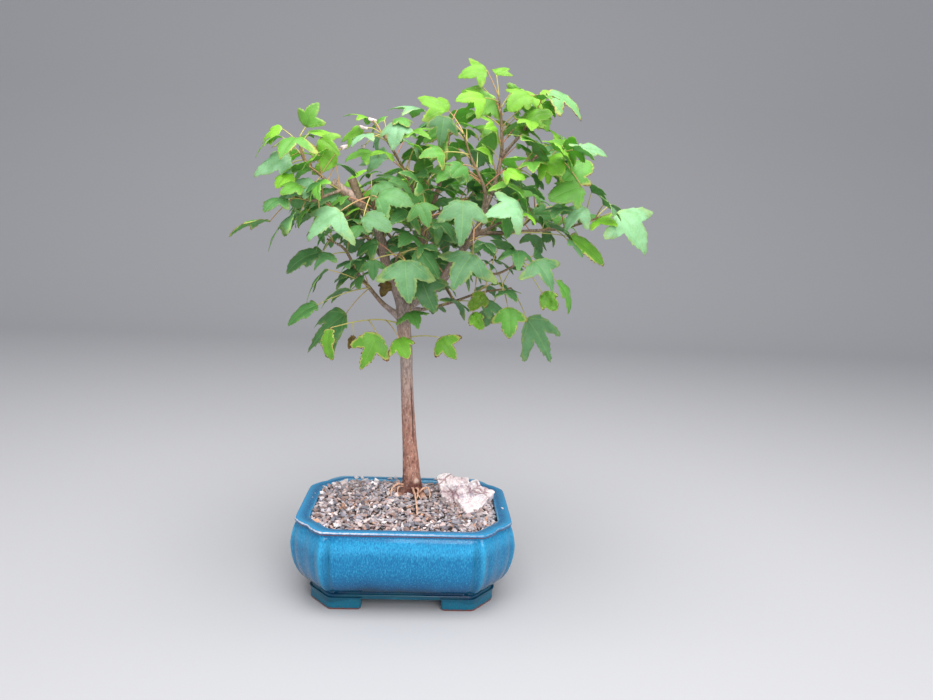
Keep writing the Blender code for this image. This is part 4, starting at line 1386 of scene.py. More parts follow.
    def chips(self, material: bpy.types.Material) -> None:
        """The loose chips, in two layers and with a few larger ones on top.

        Args:
            material: Their material.
        """
        rng = random.Random(self.seed)
        shapes = [self.chip(rng) for _ in range(self.chip_kinds)]
        bm = bmesh.new()
        layers = (
            (self.spacing, -0.0013, (0.0042, 0.0060), 0.0014, 1.0),
            (self.spacing * 1.04, 0.0002, (0.0040, 0.0066), 0.0021, 0.90),
            (self.spacing * 2.3, 0.0015, (0.0050, 0.0082), 0.0044, 0.70),
        )
        for spacing, lift, sizes, margin, chance in layers:
            for x, y in self.spots(rng, spacing, margin):
                if rng.random() > chance or (Vector((x, y)) - self.trunk.to_2d()).length < self.trunk_clearance:
                    continue
                if self.rock.covers(x, y) or self.under_root(x, y):
                    continue
                size = rng.uniform(*sizes) * rng.choice((0.72, 0.9, 1.0, 1.12))
                place = Vector((x, y, self.level(x, y) + lift + rng.uniform(-0.0007, 0.0007)))
                self.drop(bm, rng, shapes, place, size, self.kind_at(rng, x, y))
        for dx, dy, size in self.strays:
            place = Vector((self.pot.centre.x + dx, self.pot.centre.y + dy, self.pot.height + size * 0.15))
            self.drop(bm, rng, shapes, place, size, 0.72)
        for shape in shapes:
            bpy.data.meshes.remove(shape)
        hand_over(loose_object("gravel_chips", bm, smooth=False), [material],
                  ["gravel_top_dressing"])

    @staticmethod
    def drop(target: bmesh.types.BMesh, rng: random.Random, shapes: Sequence[bpy.types.Mesh], place: Vector,
             size: float, kind: float) -> None:
        """Lays one chip down.

        Args:
            target: The chips so far.
            rng: The source of its shape and turn.
            shapes: The chips' meshes to choose from.
            place: Where its middle lies.
            size: Its width.
            kind: Its kind of stone, from 0 to 1.
        """
        shape = rng.choice(shapes)
        tone = rng.random()
        count = len(shape.vertices)
        shape.attributes["kind"].data.foreach_set("value", [kind] * count)
        shape.attributes["tone"].data.foreach_set("value", [tone] * count)
        tilt = Matrix.Rotation(rng.gauss(0, 0.30), 4, "X") @ Matrix.Rotation(rng.gauss(0, 0.30), 4, "Y")
        spin = Matrix.Rotation(rng.uniform(0, math.tau), 4, "Z")
        flat = Matrix.Diagonal((size * rng.uniform(1.0, 1.30), size * rng.uniform(0.75, 1.0),
                                size * rng.uniform(0.50, 0.78), 1))
        copy = shape.copy()
        copy.transform(Matrix.Translation(place) @ tilt @ spin @ flat
                       @ Matrix.Rotation(rng.uniform(0, math.tau), 4, "X"))
        target.from_mesh(copy)
        bpy.data.meshes.remove(copy)

    def under_root(self, x: float, y: float) -> bool:
        """Whether a chip there would cover a root that runs over the gravel."""
        spot = Vector((x, y))
        return any((point.to_2d() - spot).length < self.root_clearance for point in self.bare)

    def kind_at(self, rng: random.Random, x: float, y: float) -> float:
        """A chip's kind: pale and grey ones gather in patches, tan and orange ones near the front.

        Args:
            rng: The source of the choice.
            x: Across, in the scene.
            y: Back, in the scene.

        Returns:
            The kind, from 0 to 1.
        """
        drift = noise.noise(Vector((x, y, 0.3)) * 30)
        front = max(0.0, -(y - self.pot.centre.y) / (self.pot.depth / 2))
        weights = [
            10, 15, 18 + 10 * max(0, drift), 12 - 6 * drift, 14 + 8 * front, 4 + 6 * front,
            12 + 14 * max(0, drift), 8 + 26 * max(0, drift), 10, 14 - 8 * drift,
        ]
        return (rng.choices(range(10), [max(1.0, weight) for weight in weights])[0] + 0.5) / 10


@dataclass(frozen=True)
class Block:
    """One broken block of the rock: its middle and size in millimetres from the rock's foot, and its turn."""

    middle: tuple
    size: tuple
    turn: tuple
    cuts: int = 9


@dataclass
class QuartzRock:
    """The quartz lump beside the trunk: broken blocks grown together, with clefts between them."""

    place: Vector
    blocks: tuple = (
        Block((-12, 10, 13), (24, 26, 29), (8, -16, 12)),
        Block((-3, 15, 11), (20, 22, 24), (-12, 14, 40)),
        Block((10, 0, 4), (25, 36, 22), (20, 24, -30)),
        Block((4, -13, 2), (17, 24, 13), (22, -6, 26)),
        Block((1, 1, 9), (15, 22, 18), (-26, 8, -20)),
        Block((9, 15, 8), (20, 17, 19), (10, -16, 10)),
        Block((-11, 4, 5), (13, 18, 18), (-14, 20, -34)),
    )
    crag_middle: tuple = (2, -1, 13)
    crag_reach: float = 18.0
    buried: float = 0.004
    voxel: float = 0.00065
    seed: int = 5

    def covers(self, x: float, y: float) -> bool:
        """Whether a chip at that spot would be inside the rock."""
        here = (Vector((x, y)) - self.place.to_2d()) / MM
        for block in self.blocks:
            away = here - Vector(block.middle[:2])
            if (away.x / (block.size[0] * 0.42)) ** 2 + (away.y / (block.size[1] * 0.42)) ** 2 < 1:
                return True
        return False

    def chipped(self, block: Block, rng: random.Random) -> bmesh.types.BMesh:
        """One block with its corners broken off.

        Args:
            block: The block.
            rng: The source of the breaks.

        Returns:
            The block's shape.
        """
        bm = bmesh.new()
        bmesh.ops.create_cube(bm, size=1.0)
        for _ in range(block.cuts):
            way = Vector((rng.gauss(0, 1), rng.gauss(0, 1), rng.gauss(0.2, 1))).normalized()
            slice_off(bm, way * rng.uniform(0.40, 0.54), way, 1e-6)
        turn = Matrix.Rotation(math.radians(block.turn[2]), 4, "Z")
        turn = turn @ Matrix.Rotation(math.radians(block.turn[1]), 4, "Y")
        turn = turn @ Matrix.Rotation(math.radians(block.turn[0]), 4, "X")
        size = Matrix.Diagonal((*[value * MM for value in block.size], 1))
        bmesh.ops.transform(bm, matrix=Matrix.Translation(Vector(block.middle) * MM) @ turn @ size,
                            verts=bm.verts)
        bmesh.ops.recalc_face_normals(bm, faces=bm.faces)
        return bm

    def build(self, material: bpy.types.Material) -> None:
        """Builds and dresses the rock.

        Args:
            material: Its material.
        """
        rng = random.Random(self.seed)
        noise.seed_set(self.seed)
        whole = bmesh.new()
        for block in self.blocks:
            absorb(whole, self.chipped(block, rng))
        rock = loose_object("quartz_rock", whole, smooth=False)
        add_voxel_merge(rock, self.voxel)
        apply_modifiers(rock)
        bm = bmesh.new()
        bm.from_mesh(rock.data)
        slice_off(bm, (0, 0, -self.buried), (0, 0, -1), 1e-7)
        bmesh.ops.triangulate(bm, faces=[face for face in bm.faces if len(face.verts) > 4])
        shaded_cleft, crag = layer(bm, "shaded_cleft"), layer(bm, "crag")
        middle = Vector(self.crag_middle) * MM
        bm.normal_update()
        moves = {vert: vert.normal * self.relief(vert.co) for vert in bm.verts}
        for vert, move in moves.items():
            vert.co += move
        bm.normal_update()
        # The hollows are marked for grey and pink in the clefts: partly staining, partly painted shade.
        hollow = {vert: self.hollow(vert) for vert in bm.verts}
        for _ in range(3):
            hollow = {vert: (value + sum(hollow[edge.other_vert(vert)] for edge in vert.link_edges)
                             / max(1, len(vert.link_edges))) / 2 for vert, value in hollow.items()}
        for vert, value in hollow.items():
            vert[shaded_cleft] = clamp(value * 5.0)
            away = (vert.co - middle).length / (self.crag_reach * MM)
            vert[crag] = clamp(1.35 - away)
        bmesh.ops.translate(bm, verts=bm.verts, vec=self.place)
        bmesh.ops.recalc_face_normals(bm, faces=bm.faces)
        for face in bm.faces:
            face.smooth = False
        bm.to_mesh(rock.data)
        bm.free()
        hand_over(rock, [material], ["accent_rock"])

    @staticmethod
    def hollow(vert: bmesh.types.BMVert) -> float:
        """How hollow the surface is at a vertex: the rise of its neighbours over its own plane."""
        rise = 0.0
        for edge in vert.link_edges:
            away = edge.other_vert(vert).co - vert.co
            rise += away.normalized().dot(vert.normal)
        return rise / max(1, len(vert.link_edges))

    @staticmethod
    def relief(spot: Vector) -> float:
        """How far the broken surface stands out at one spot, from the rock's middle."""
        move = 0.0
        for scale, height, salt in ((150, 0.0014, 7.0), (330, 0.0006, 11.0)):
            bent = (spot + noise.noise_vector(spot * 60) * 0.003) * scale + Vector((salt, 0, 0))
            distances, cells = noise.voronoi(bent)
            tilt = noise.noise_vector(cells[0] * 7.31) * 1.6
            gap = min(1.0, (distances[1] - distances[0]) * 6)
            move += height * (0.7 * (bent - cells[0]).dot(tilt) - 0.45 * (1 - gap) + 0.2)
        return move


# ---------------------------------------------------------------- wood


@dataclass(frozen=True)
class Limb:
    """A root, branch or twig: its radius at both ends and its centre line, in laid-out millimetres."""

    first_radius: float
    last_radius: float
    points: tuple


TRUNK_RADII = (10.6, 10.4, 9.2, 8.2, 7.1, 6.3, 6.0, 6.2, 7.0, 6.4)
TRUNK = (
    (1, 2, -16), (1, 0, -2), (1, 0, 6), (-1, 1, 31), (-3, 0, 54),
    (-6, -1, 93), (-8, 0, 124), (-9, 1, 145), (-12, 0, 168), (-13, 0, 186),
)

ROOTS = {
    "left_low": Limb(1.8, 0.8, ((-5, -2, 1), (-12, 1, 0), (-21, 0, -3), (-30, -4, -9))),
    "front_left": Limb(2.6, 1.2, ((-2, -4, 2), (-8, -9, 0), (-14, -14, -6))),
    "front_right": Limb(2.6, 1.2, ((3, -4, 2), (9, -8, 0), (14, -13, -6))),
    "back_left": Limb(2.8, 1.2, ((-3, 3, -5), (-13, 9, -2), (-24, 13, -6))),
    "back_right": Limb(2.8, 1.2, ((4, 3, -5), (14, 8, -3), (25, 10, -7))),
}

BARE_ROOTS = {
    "front": Limb(1.35, 0.70, ((1, -6, 5), (2, -12, 6.5), (3.5, -21, 6), (5, -30, 5.5), (6, -40, 3.6),
                               (7, -50, 0.8), (7.8, -59, -3.8))),
    "front_fork": Limb(0.80, 0.40, ((3.5, -7, 5), (6, -12, 6.5), (7.5, -18, 5.5), (7, -25, 1))),
    "front_cross": Limb(0.90, 0.60, ((5, -7, 6), (8, -12, 5.5), (7, -16, 3), (10, -20, -1))),
    "left": Limb(1.25, 0.75, ((-6, -4, 7), (-12, -6, 9), (-17, -9, 7), (-19.5, -12, 3), (-19, -15, -2))),
    "left_inner": Limb(0.70, 0.45, ((-7, -5, 6), (-12, -8, 6.5), (-13, -12, 3), (-12, -15, -1))),
    "right": Limb(1.00, 0.65, ((5, -12, 0), (9, -13, 3.5), (13, -12, 7), (17.5, -11, 7), (19.5, -14, 2),
                               (19, -16, -2))),
}

MAIN_LIMBS = {
    "left_main": Limb(5.2, 4.1, ((-13, 0, 178), (-17, -3, 196), (-24, -6, 214), (-31, -10, 231),
                                 (-35, -16, 252), (-41, -20, 265), (-52, -24, 281), (-63, -28, 307))),
    "left_stub": Limb(3.7, 3.1, ((-42, -20, 268), (-52, -23, 281), (-62, -27, 291), (-80, -31, 304))),
    "leader": Limb(5.0, 1.2, ((-12, 0, 178), (-4, 4, 200), (2, 8, 222), (5, 12, 246), (10, 14, 274),
                              (17, 14, 303), (23, 12, 332), (27, 10, 364))),
    "right_main": Limb(4.4, 2.8, ((-11, 0, 186), (8, -5, 200), (22, -10, 212), (29, -14, 226),
                                  (44, -20, 248), (54, -26, 262), (59, -30, 279))),
}

TWIGS = {
    "left_upper": Limb(2.4, 0.9, ((-52, -24, 281), (-61, -30, 286), (-72, -40, 295), (-85, -46, 304),
                                  (-103, -50, 320), (-108, -46, 339))),
    "left_far": Limb(1.6, 0.8, ((-72, -40, 295), (-84, -48, 289), (-96, -50, 284), (-111, -48, 287))),
    "left_back": Limb(2.4, 1.0, ((-31, -10, 231), (-41, 0, 243), (-60, 15, 264), (-81, 35, 278),
                                 (-100, 50, 292))),
    "lower_left": Limb(2.6, 0.9, ((-12, 0, 174), (-32, -6, 190), (-46, -16, 207), (-56, -24, 220),
                                  (-68, -30, 242), (-84, -34, 251))),
    "low_left_twig": Limb(0.75, 0.5, ((-14, -2, 171), (-34, -16, 176), (-55, -30, 175), (-77, -44, 170))),
    "front_left": Limb(1.7, 0.8, ((-41, -20, 265), (-41, -38, 276), (-43, -56, 290))),
    "front_low": Limb(1.7, 0.8, ((-24, -6, 214), (-22, -26, 228), (-17, -52, 240))),
    "centre_left": Limb(2.3, 0.9, ((5, 12, 246), (-3, 0, 268), (-6, -12, 291), (-10, -18, 308),
                                   (-25, -28, 333), (-36, -32, 348))),
    "front_mid": Limb(2.0, 0.8, ((2, 8, 222), (2, -20, 240), (4, -46, 260), (10, -64, 280))),
    "right_far": Limb(1.9, 0.9, ((54, -26, 262), (83, -24, 264), (122, -26, 268), (137, -30, 270),
                                 (157, -34, 277), (168, -36, 281))),
    "right_front": Limb(1.8, 0.8, ((54, -26, 262), (66, -34, 267), (80, -46, 275), (90, -55, 278))),
    "front_right": Limb(1.6, 0.8, ((44, -20, 248), (47, -42, 256), (50, -62, 266))),
    "top_right": Limb(2.5, 1.0, ((59, -30, 279), (67, -26, 299), (75, -20, 334), (74, -16, 366),
                                 (71, -14, 388))),
    "top_front": Limb(2.0, 0.9, ((59, -30, 279), (60, -40, 298), (54, -48, 312), (44, -55, 330),
                                 (38, -58, 347))),
    "right_high": Limb(1.7, 0.9, ((75, -20, 334), (95, -28, 358), (104, -31, 370), (108, -32, 384))),
    "right_mid": Limb(1.8, 0.8, ((67, -26, 299), (81, -34, 314), (95, -40, 325), (110, -45, 334),
                                 (127, -46, 332))),
    "low_right": Limb(1.9, 0.9, ((29, -14, 226), (48, -26, 226), (63, -36, 225), (76, -42, 226),
                                 (95, -48, 237))),
    "low_back": Limb(2.0, 0.9, ((-11, 0, 184), (12, 14, 186), (38, 28, 193), (65, 42, 202),
                                (98, 46, 208))),
    "back_left": Limb(2.2, 0.9, ((2, 8, 222), (-20, 30, 246), (-45, 52, 272), (-62, 70, 292))),
    "back_mid": Limb(2.0, 0.9, ((5, 12, 246), (8, 40, 270), (8, 62, 296), (4, 76, 318))),
    "back_right": Limb(2.0, 0.9, ((10, 14, 274), (35, 38, 291), (60, 58, 305), (84, 68, 318))),
    "back_low": Limb(1.5, 0.8, ((38, 28, 193), (24, 48, 212), (4, 62, 236))),
    "back_far_right": Limb(1.4, 0.8, ((83, -24, 264), (100, 5, 271), (112, 28, 280), (119, 44, 292))),
}


COLLARS = (
    ((-12, 0, 174), (-32, -6, 190), 4.4), ((2, 8, 222), (2, -8, 231), 3.0),
    ((5, 12, 246), (0, 5, 259), 3.2), ((-31, -10, 231), (-37, -4, 238), 3.6),
    ((-11, 0, 184), (4, 9, 186), 3.2), ((29, -14, 226), (39, -20, 226), 2.8),
    ((54, -26, 262), (66, -25, 263), 2.8), ((59, -30, 279), (64, -28, 290), 3.2),
)
"""The swellings where side branches leave a limb: both ends, and the radius at the first."""


@dataclass
class Wood:
    """The trunk, its roots, the main limbs and the twigs."""

    foot: Vector
    voxel: float = 0.00075
    steps: int = 7
    green_twigs: tuple = ("low_left_twig",)
    knot: tuple = (5.5, -8, 13)
    cut_ends: tuple = ((-63, -28, 307), (-80, -31, 304))
    bare_prong: tuple = (-56, -24, 286)
    young_above: float = 190.0
    fissure_low: float = 48.0
    fissure_high: float = 118.0

    def at(self, point: Sequence[float]) -> Vector:
        """A laid-out point as a place in the scene."""
        return self.foot + Vector(point) * MM

    def line(self, limb: Limb, steps: int) -> tuple[list[Vector], list[float]]:
        """A limb's centre line and radii, with small bends and swellings at its buds.

        Args:
            limb: The limb.
            steps: How many points each of its stretches gets.

        Returns:
            The points and the radius at each.
        """
        points = smooth_line([self.at(point) for point in limb.points], steps)
        radii = []
        for i, point in enumerate(points):
            share = i / (len(points) - 1)
            radius = limb.first_radius + (limb.last_radius - limb.first_radius) * share
            swell = 1 + 0.10 * noise.noise(point * 90) + 0.07 * noise.noise(point * 260)
            radii.append(radius * MM * swell)
        return points, radii

    def trunk(self) -> bmesh.types.BMesh:
        """The trunk's bar, from under the gravel to its fork."""
        points = smooth_line([self.at(point) for point in TRUNK], self.steps)
        radii = []
        for i in range(len(points)):
            spot = i / self.steps
            low = min(int(spot), len(TRUNK_RADII) - 2)
            radii.append((TRUNK_RADII[low] + (TRUNK_RADII[low + 1] - TRUNK_RADII[low]) * (spot - low)) * MM)
        return sweep(points, radii, 36)

    def stout(self, bark: bpy.types.Material) -> None:
        """The trunk, the root flare and the main limbs, merged into one smooth body with rough bark.

        Args:
            bark: Their material.
        """
        bm = self.trunk()
        for limb in [*ROOTS.values(), *MAIN_LIMBS.values()]:
            points, radii = self.line(limb, self.steps)
            absorb(bm, sweep(points, radii, 20))
        for start, end, radius in COLLARS:
            line = [self.at(start), self.at(start).lerp(self.at(end), 0.5), self.at(end)]
            absorb(bm, sweep(line, [radius * MM, radius * MM * 0.75, radius * MM * 0.5], 16))
        body = loose_object("trunk_and_limbs", bm)
        add_voxel_merge(body, self.voxel)
        soften = body.modifiers.new("Soften", "SMOOTH")
        soften.factor = 0.5
        soften.iterations = 4
        apply_modifiers(body)
        self.roughen(body)
        hand_over(body, [bark], ["trunk_and_branches"])

    def roughen(self, body: bpy.types.Object) -> None:
        """Gives the bark its real relief and marks the pale knot and the bare roots.

        Args:
            body: The merged body.
        """
        bm = bmesh.new()
        bm.from_mesh(body.data)
        youth, bare, scar = layer(bm, "youth"), layer(bm, "bare_root"), layer(bm, "scar")
        fissure = layer(bm, "fissure")
        bm.normal_update()
        knot, prong_foot = self.at(self.knot), self.at(self.bare_prong)
        stubs = [self.at(end) for end in self.cut_ends]
        for vert in bm.verts:
            spot = vert.co
            tall = Vector((spot.x, spot.y, spot.z * 0.25))
            rough = noise.noise(tall * 700) * 0.6 + noise.noise(tall * 1500) * 0.4
            above = (spot.z - self.foot.z) / MM
            thick = 1.0 if above < self.young_above else 0.6
            move = 0.00038 * rough * thick
            near = (spot - knot).length / 0.0034
            if near < 1:
                move += 0.0009 * (1 - near * near)
                vert[scar] = min(1.0, 1.6 * (1 - near))
            for stub in stubs:
                vert[scar] = max(vert[scar], 1 - min(1.0, (spot - stub).length / 0.0045))
            prong = intersect_point_line(spot, prong_foot, stubs[1])
            if 0 < prong[1] < 1.1 and (spot - prong[0]).length < 0.0048:
                vert[scar] = max(vert[scar], 0.85 * min(1.0, prong[1] * 3))
            flat = (spot - self.foot).to_2d()
            if above < 11 and flat.length / MM > 14:
                vert[bare] = min(1.0, (flat.length / MM - 14) / 4)
            if -6 < above < 45:
                turn = math.atan2(flat.y, flat.x)
                lobes = 0.6 * math.cos(3 * turn + 1.0) + 0.4 * math.cos(5 * turn + 2.2)
                move += (0.0018 * lobes + 0.0019) * math.exp(-max(0.0, above) / 8)
            if self.fissure_low < above < self.fissure_high:
                axis = self.at((-4.5 - (above - 60) * 0.06, -0.5, above)).to_2d()
                turn = math.atan2(spot.y - axis.y, spot.x - axis.x)
                wander = -0.75 + 0.10 * noise.noise(Vector((above * 0.11, 0, 0)))
                near = 1 - min(1.0, abs(turn - wander) / 0.16)
                near *= min(1.0, (above - self.fissure_low) / 12, (self.fissure_high - above) / 12)
                move -= 0.0009 * near
                vert[fissure] = min(1.0, 1.4 * near)
            vert[youth] = min(0.75, max(0.0, (above - self.young_above) / 150))
            vert.co += vert.normal * move
        for face in bm.faces:
            face.smooth = True
        bm.to_mesh(body.data)
        bm.free()

    def twigs(self, bark: bpy.types.Material, stalk: bpy.types.Material) -> None:
        """The side branches and twigs, with a collar at each foot, and the thin roots over the gravel.

        Args:
            bark: Their material.
            stalk: The material of the twigs that are still green.
        """
        bm = bmesh.new()
        for name, limb in TWIGS.items():
            points, radii = self.line(limb, self.steps)
            count = len(points)
            flared = [radius * (1 + 0.45 * max(0.0, 1 - i / (count * 0.12))) for i, radius in enumerate(radii)]
            twig = sweep(points, flared, 14, {"youth": lambda share: 0.45 + 0.55 * share})
            if name in self.green_twigs:
                for face in twig.faces:
                    face.material_index = 1
            absorb(bm, twig)
        for limb in BARE_ROOTS.values():
            points, radii = self.line(limb, self.steps)
            absorb(bm, sweep(points, radii, 10, {"bare_root": lambda share: 0.55 + 0.45 * share}))
        hand_over(loose_object("twigs_and_bare_roots", bm), [bark, stalk], ["trunk_and_branches"])

    def bare_roots(self) -> list[Vector]:
        """Points along the roots that run over the gravel."""
        found = []
        for limb in [*ROOTS.values(), *BARE_ROOTS.values()]:
            found += [point for point in self.line(limb, self.steps)[0] if point.z > self.foot.z - 0.003]
        return found

    def lines(self) -> list[tuple[list[Vector], list[float]]]:
        """The centre line and radii of everything that a leaf can grow from."""
        found = [self.line(limb, 3) for limb in [*MAIN_LIMBS.values(), *TWIGS.values()]]
        trunk = smooth_line([self.at(point) for point in TRUNK], 1)
        found.append((trunk, [radius * MM for radius in TRUNK_RADII]))
        return found


# ---------------------------------------------------------------- leaves


class LeafShape(Enum):
    """Blade outlines: the side lobes' half width and height, and the notches' half width and height."""

    BROAD = (0.60, 0.44, 0.24, 0.48)
    LONG = (0.50, 0.50, 0.17, 0.46)
    SHALLOW = (0.54, 0.50, 0.29, 0.53)
    WIDE = (0.70, 0.34, 0.24, 0.43)
    NARROW = (0.27, 0.46, 0.20, 0.52)
    FORKED = (0.46, 0.62, 0.12, 0.38)


class LeafLook(Enum):
    """How a leaf looks: glow, sheen, scorch and death, each from 0 to 1. Glow is partly the leaf's own colour and
    partly painted light, lighter on the crown's lit top and darker inside; sheen is a pale painted reflection.
    """

    DEEP = (0.14, 0.14, 0.0, 0.0)
    GREEN = (0.38, 0.12, 0.05, 0.0)
    SHEENED = (0.50, 0.85, 0.05, 0.0)
    SATIN = (0.42, 0.34, 0.05, 0.0)
    DULL = (0.20, 0.34, 0.0, 0.0)
    FRESH = (0.66, 0.10, 0.05, 0.0)
    LIME = (0.95, 0.05, 0.08, 0.0)
    EDGED = (0.60, 0.12, 0.60, 0.0)
    SCORCHED = (0.82, 0.05, 1.0, 0.03)
    DRIED = (0.60, 0.60, 1.0, 0.0)
    DYING = (0.80, 0.0, 1.0, 0.35)
    DEAD = (0.35, 0.0, 0.6, 0.85)


@dataclass(frozen=True)
class Leaf:
    """A leaf: its blade's base and tip in laid-out millimetres, where its face looks, and its character."""

    base: tuple
    tip: tuple
    face: Vector
    look: LeafLook = LeafLook.GREEN
    shape: LeafShape = LeafShape.BROAD
    curl: float = 0.0
    root: tuple = ()


L = LeafLook
S = LeafShape
NAMED_LEAVES = {
    "left": (
        Leaf((-115, -48, 322), (-147, -56, 305), UP + FRONT, L.SHEENED, S.WIDE),
        Leaf((-103, -42, 349), (-93, -44, 371), FRONT + UP, L.FRESH, S.BROAD),
        Leaf((-92, -54, 299), (-119, -61, 284), UP + FRONT, L.SHEENED, S.LONG),
        Leaf((-134, -44, 264), (-171, -48, 253), UP, L.EDGED, S.LONG),
        Leaf((-104, -58, 273), (-134, -66, 241), UP + LEFT, L.SATIN, S.LONG),
        Leaf((-67, -74, 275), (-94, -88, 250), FRONT + UP, L.SHEENED, S.WIDE),
        Leaf((-88, -30, 238), (-121, -38, 220), UP + FRONT, L.DEEP, S.NARROW),
        Leaf((-80, -50, 223), (-101, -58, 196), UP + LEFT, L.DEEP, S.FORKED, root=(-44, -24, 207)),
        Leaf((-91, -40, 190), (-118, -46, 172), UP + FRONT, L.GREEN, S.NARROW, root=(-44, -24, 207)),
        Leaf((-70, 10, 178), (-112, 14, 138), FRONT + UP, L.DEEP, S.FORKED, root=(-44, -14, 207)),
        Leaf((-78, -46, 169), (-77, -50, 140), LEFT + FRONT * 2, L.SCORCHED, S.NARROW),
    ),
    "front": (
        Leaf((-36, -36, 165), (-50, -44, 131), FRONT, L.SCORCHED, S.LONG),
        Leaf((-15, -36, 161), (-5, -52, 146), FRONT + UP, L.SCORCHED, S.SHALLOW),
        Leaf((-36, -72, 288), (-4, -86, 284), FRONT + UP, L.SATIN, S.BROAD),
        Leaf((-46, -86, 271), (-22, -97, 261), UP + FRONT, L.SATIN, S.SHALLOW),
        Leaf((-10, -76, 235), (-5, -94, 200), FRONT * 1.3 + UP, L.SATIN, S.BROAD),
        Leaf((20, -56, 362), (17, -66, 335), FRONT, L.DEEP, S.LONG),
        Leaf((38, -86, 288), (37, -106, 251), FRONT + UP, L.DULL, S.LONG),
        Leaf((49, -80, 243), (31, -96, 213), FRONT + UP, L.SATIN, S.WIDE),
        Leaf((24, -20, 161), (40, -26, 141), FRONT, L.SCORCHED, S.BROAD),
    ),
    "top": (
        Leaf((-20, -52, 355), (-24, -67, 331), FRONT + UP, L.SHEENED, S.BROAD),
        Leaf((-46, -24, 359), (-72, -20, 366), UP, L.LIME, S.WIDE),
        Leaf((24, -30, 371), (-4, -26, 385), FRONT + UP, L.LIME, S.BROAD),
        Leaf((58, -16, 412), (31, -20, 405), FRONT + UP, L.LIME, S.WIDE),
        Leaf((68, -10, 409), (80, 0, 420), FRONT + UP, L.LIME, S.BROAD),
        Leaf((56, -34, 383), (30, -46, 380), FRONT + UP, L.LIME, S.BROAD),
        Leaf((97, -44, 386), (76, -54, 372), FRONT + UP, L.LIME, S.SHALLOW),
        Leaf((112, -36, 390), (147, -40, 370), RIGHT + FRONT + UP, L.DRIED, S.LONG),
    ),
    "right": (
        Leaf((145, -30, 342), (176, -24, 340), UP + FRONT * 1.4, L.SHEENED, S.NARROW),
        Leaf((128, -50, 311), (156, -44, 332), UP + FRONT, L.EDGED, S.SHALLOW),
        Leaf((145, -60, 306), (115, -72, 295), UP + FRONT, L.FRESH, S.SHALLOW),
        Leaf((89, -82, 284), (56, -94, 276), FRONT * 1.6 + UP, L.SHEENED, S.WIDE),
        Leaf((182, -44, 286), (211, -56, 250), FRONT + UP, L.SHEENED, S.WIDE),
        Leaf((151, -50, 289), (132, -58, 266), UP + FRONT, L.SHEENED, S.LONG),
        Leaf((141, -34, 262), (177, -38, 240), UP * 1.2 + RIGHT * 0.4 + FRONT, L.SCORCHED, S.NARROW,
             root=(77, -25, 261)),
        Leaf((103, -76, 239), (121, -88, 214), FRONT + UP, L.SATIN, S.WIDE),
        Leaf((130, -42, 221), (146, -44, 192), RIGHT + FRONT * 0.6, L.FRESH, S.NARROW),
        Leaf((84, -60, 196), (86, -66, 168), FRONT * 1.5 + UP * 0.3, L.EDGED, S.BROAD),
        Leaf((112, 18, 179), (144, 24, 134), FRONT + UP, L.DULL, S.FORKED),
    ),
    "back": (
        Leaf((-72, 82, 300), (-96, 98, 284), UP + BACK, L.GREEN, S.BROAD),
        Leaf((-14, 90, 328), (-28, 115, 314), UP + BACK, L.GREEN, S.WIDE),
        Leaf((24, 90, 336), (32, 116, 322), UP + BACK, L.FRESH, S.BROAD),
        Leaf((92, 84, 326), (112, 104, 312), UP + BACK, L.GREEN, S.WIDE),
        Leaf((124, 58, 300), (150, 72, 286), UP + RIGHT, L.SATIN, S.BROAD),
        Leaf((-112, 60, 290), (-138, 70, 270), UP + LEFT, L.GREEN, S.BROAD),
        Leaf((2, 80, 250), (-6, 104, 228), UP + BACK, L.DEEP, S.WIDE),
        Leaf((72, 84, 282), (82, 110, 262), UP + BACK, L.GREEN, S.LONG),
        Leaf((34, 36, 384), (44, 62, 376), UP + BACK, L.LIME, S.BROAD),
    ),
}

INNER_LEAVES = (
    Leaf((1, -62, 245), (21, -72, 221), FRONT + UP, L.DEEP, S.BROAD),
    Leaf((0, -84, 284), (10, -94, 265), FRONT + UP, L.GREEN, S.BROAD),
    Leaf((-39, -62, 234), (-38, -72, 217), FRONT + UP, L.GREEN, S.BROAD),
    Leaf((-6, -26, 185), (3, -44, 173), FRONT + UP, L.FRESH, S.WIDE),
    Leaf((4, -52, 220), (18, -60, 189), FRONT, L.DEEP, S.BROAD),
    Leaf((64, -40, 206), (50, -46, 191), FRONT, L.DYING, S.SHALLOW, 1.0),
    Leaf((54, -30, 187), (64, -34, 172), FRONT, L.SCORCHED, S.SHALLOW, 1.0),
    Leaf((93, -50, 363), (115, -56, 371), FRONT + UP, L.LIME, S.SHALLOW),
    Leaf((140, -36, 338), (116, -48, 348), FRONT + UP, L.FRESH, S.LONG),
    Leaf((2, -8, 373), (-33, -4, 377), UP, L.SHEENED, S.BROAD),
    Leaf((115, -56, 210), (130, -58, 195), FRONT, L.SCORCHED, S.SHALLOW, 0.8),
    Leaf((103, -36, 387), (83, -44, 373), FRONT + UP, L.LIME, S.WIDE),
    Leaf((107, -34, 391), (123, -40, 384), FRONT + UP, L.LIME, S.BROAD),
    Leaf((104, -32, 381), (116, -40, 357), FRONT + UP, L.FRESH, S.WIDE),
    Leaf((115, -38, 344), (129, -46, 319), FRONT + UP, L.DRIED, S.LONG, 0.4),
    Leaf((-58, -30, 161), (-62, -34, 149), FRONT, L.DEAD, S.NARROW, 1.0),
    Leaf((-27, -22, 213), (-33, -26, 199), FRONT, L.DEAD, S.SHALLOW, 1.0),
)


FILLING_PAIRS = {
    "leader": 13, "left_upper": 9, "left_back": 11, "centre_left": 11, "top_right": 10, "top_front": 8,
    "right_high": 6, "right_mid": 9, "back_left": 9, "back_mid": 9, "back_right": 9, "left_far": 4,
    "right_far": 5, "front_left": 4, "front_mid": 5, "front_low": 3, "low_back": 4, "back_low": 6,
    "back_far_right": 6, "lower_left": 5, "right_front": 3, "front_right": 3, "low_right": 3,
    "right_main": 6, "left_main": 6,
}
"""How many pairs of filling leaves each limb and twig carries."""

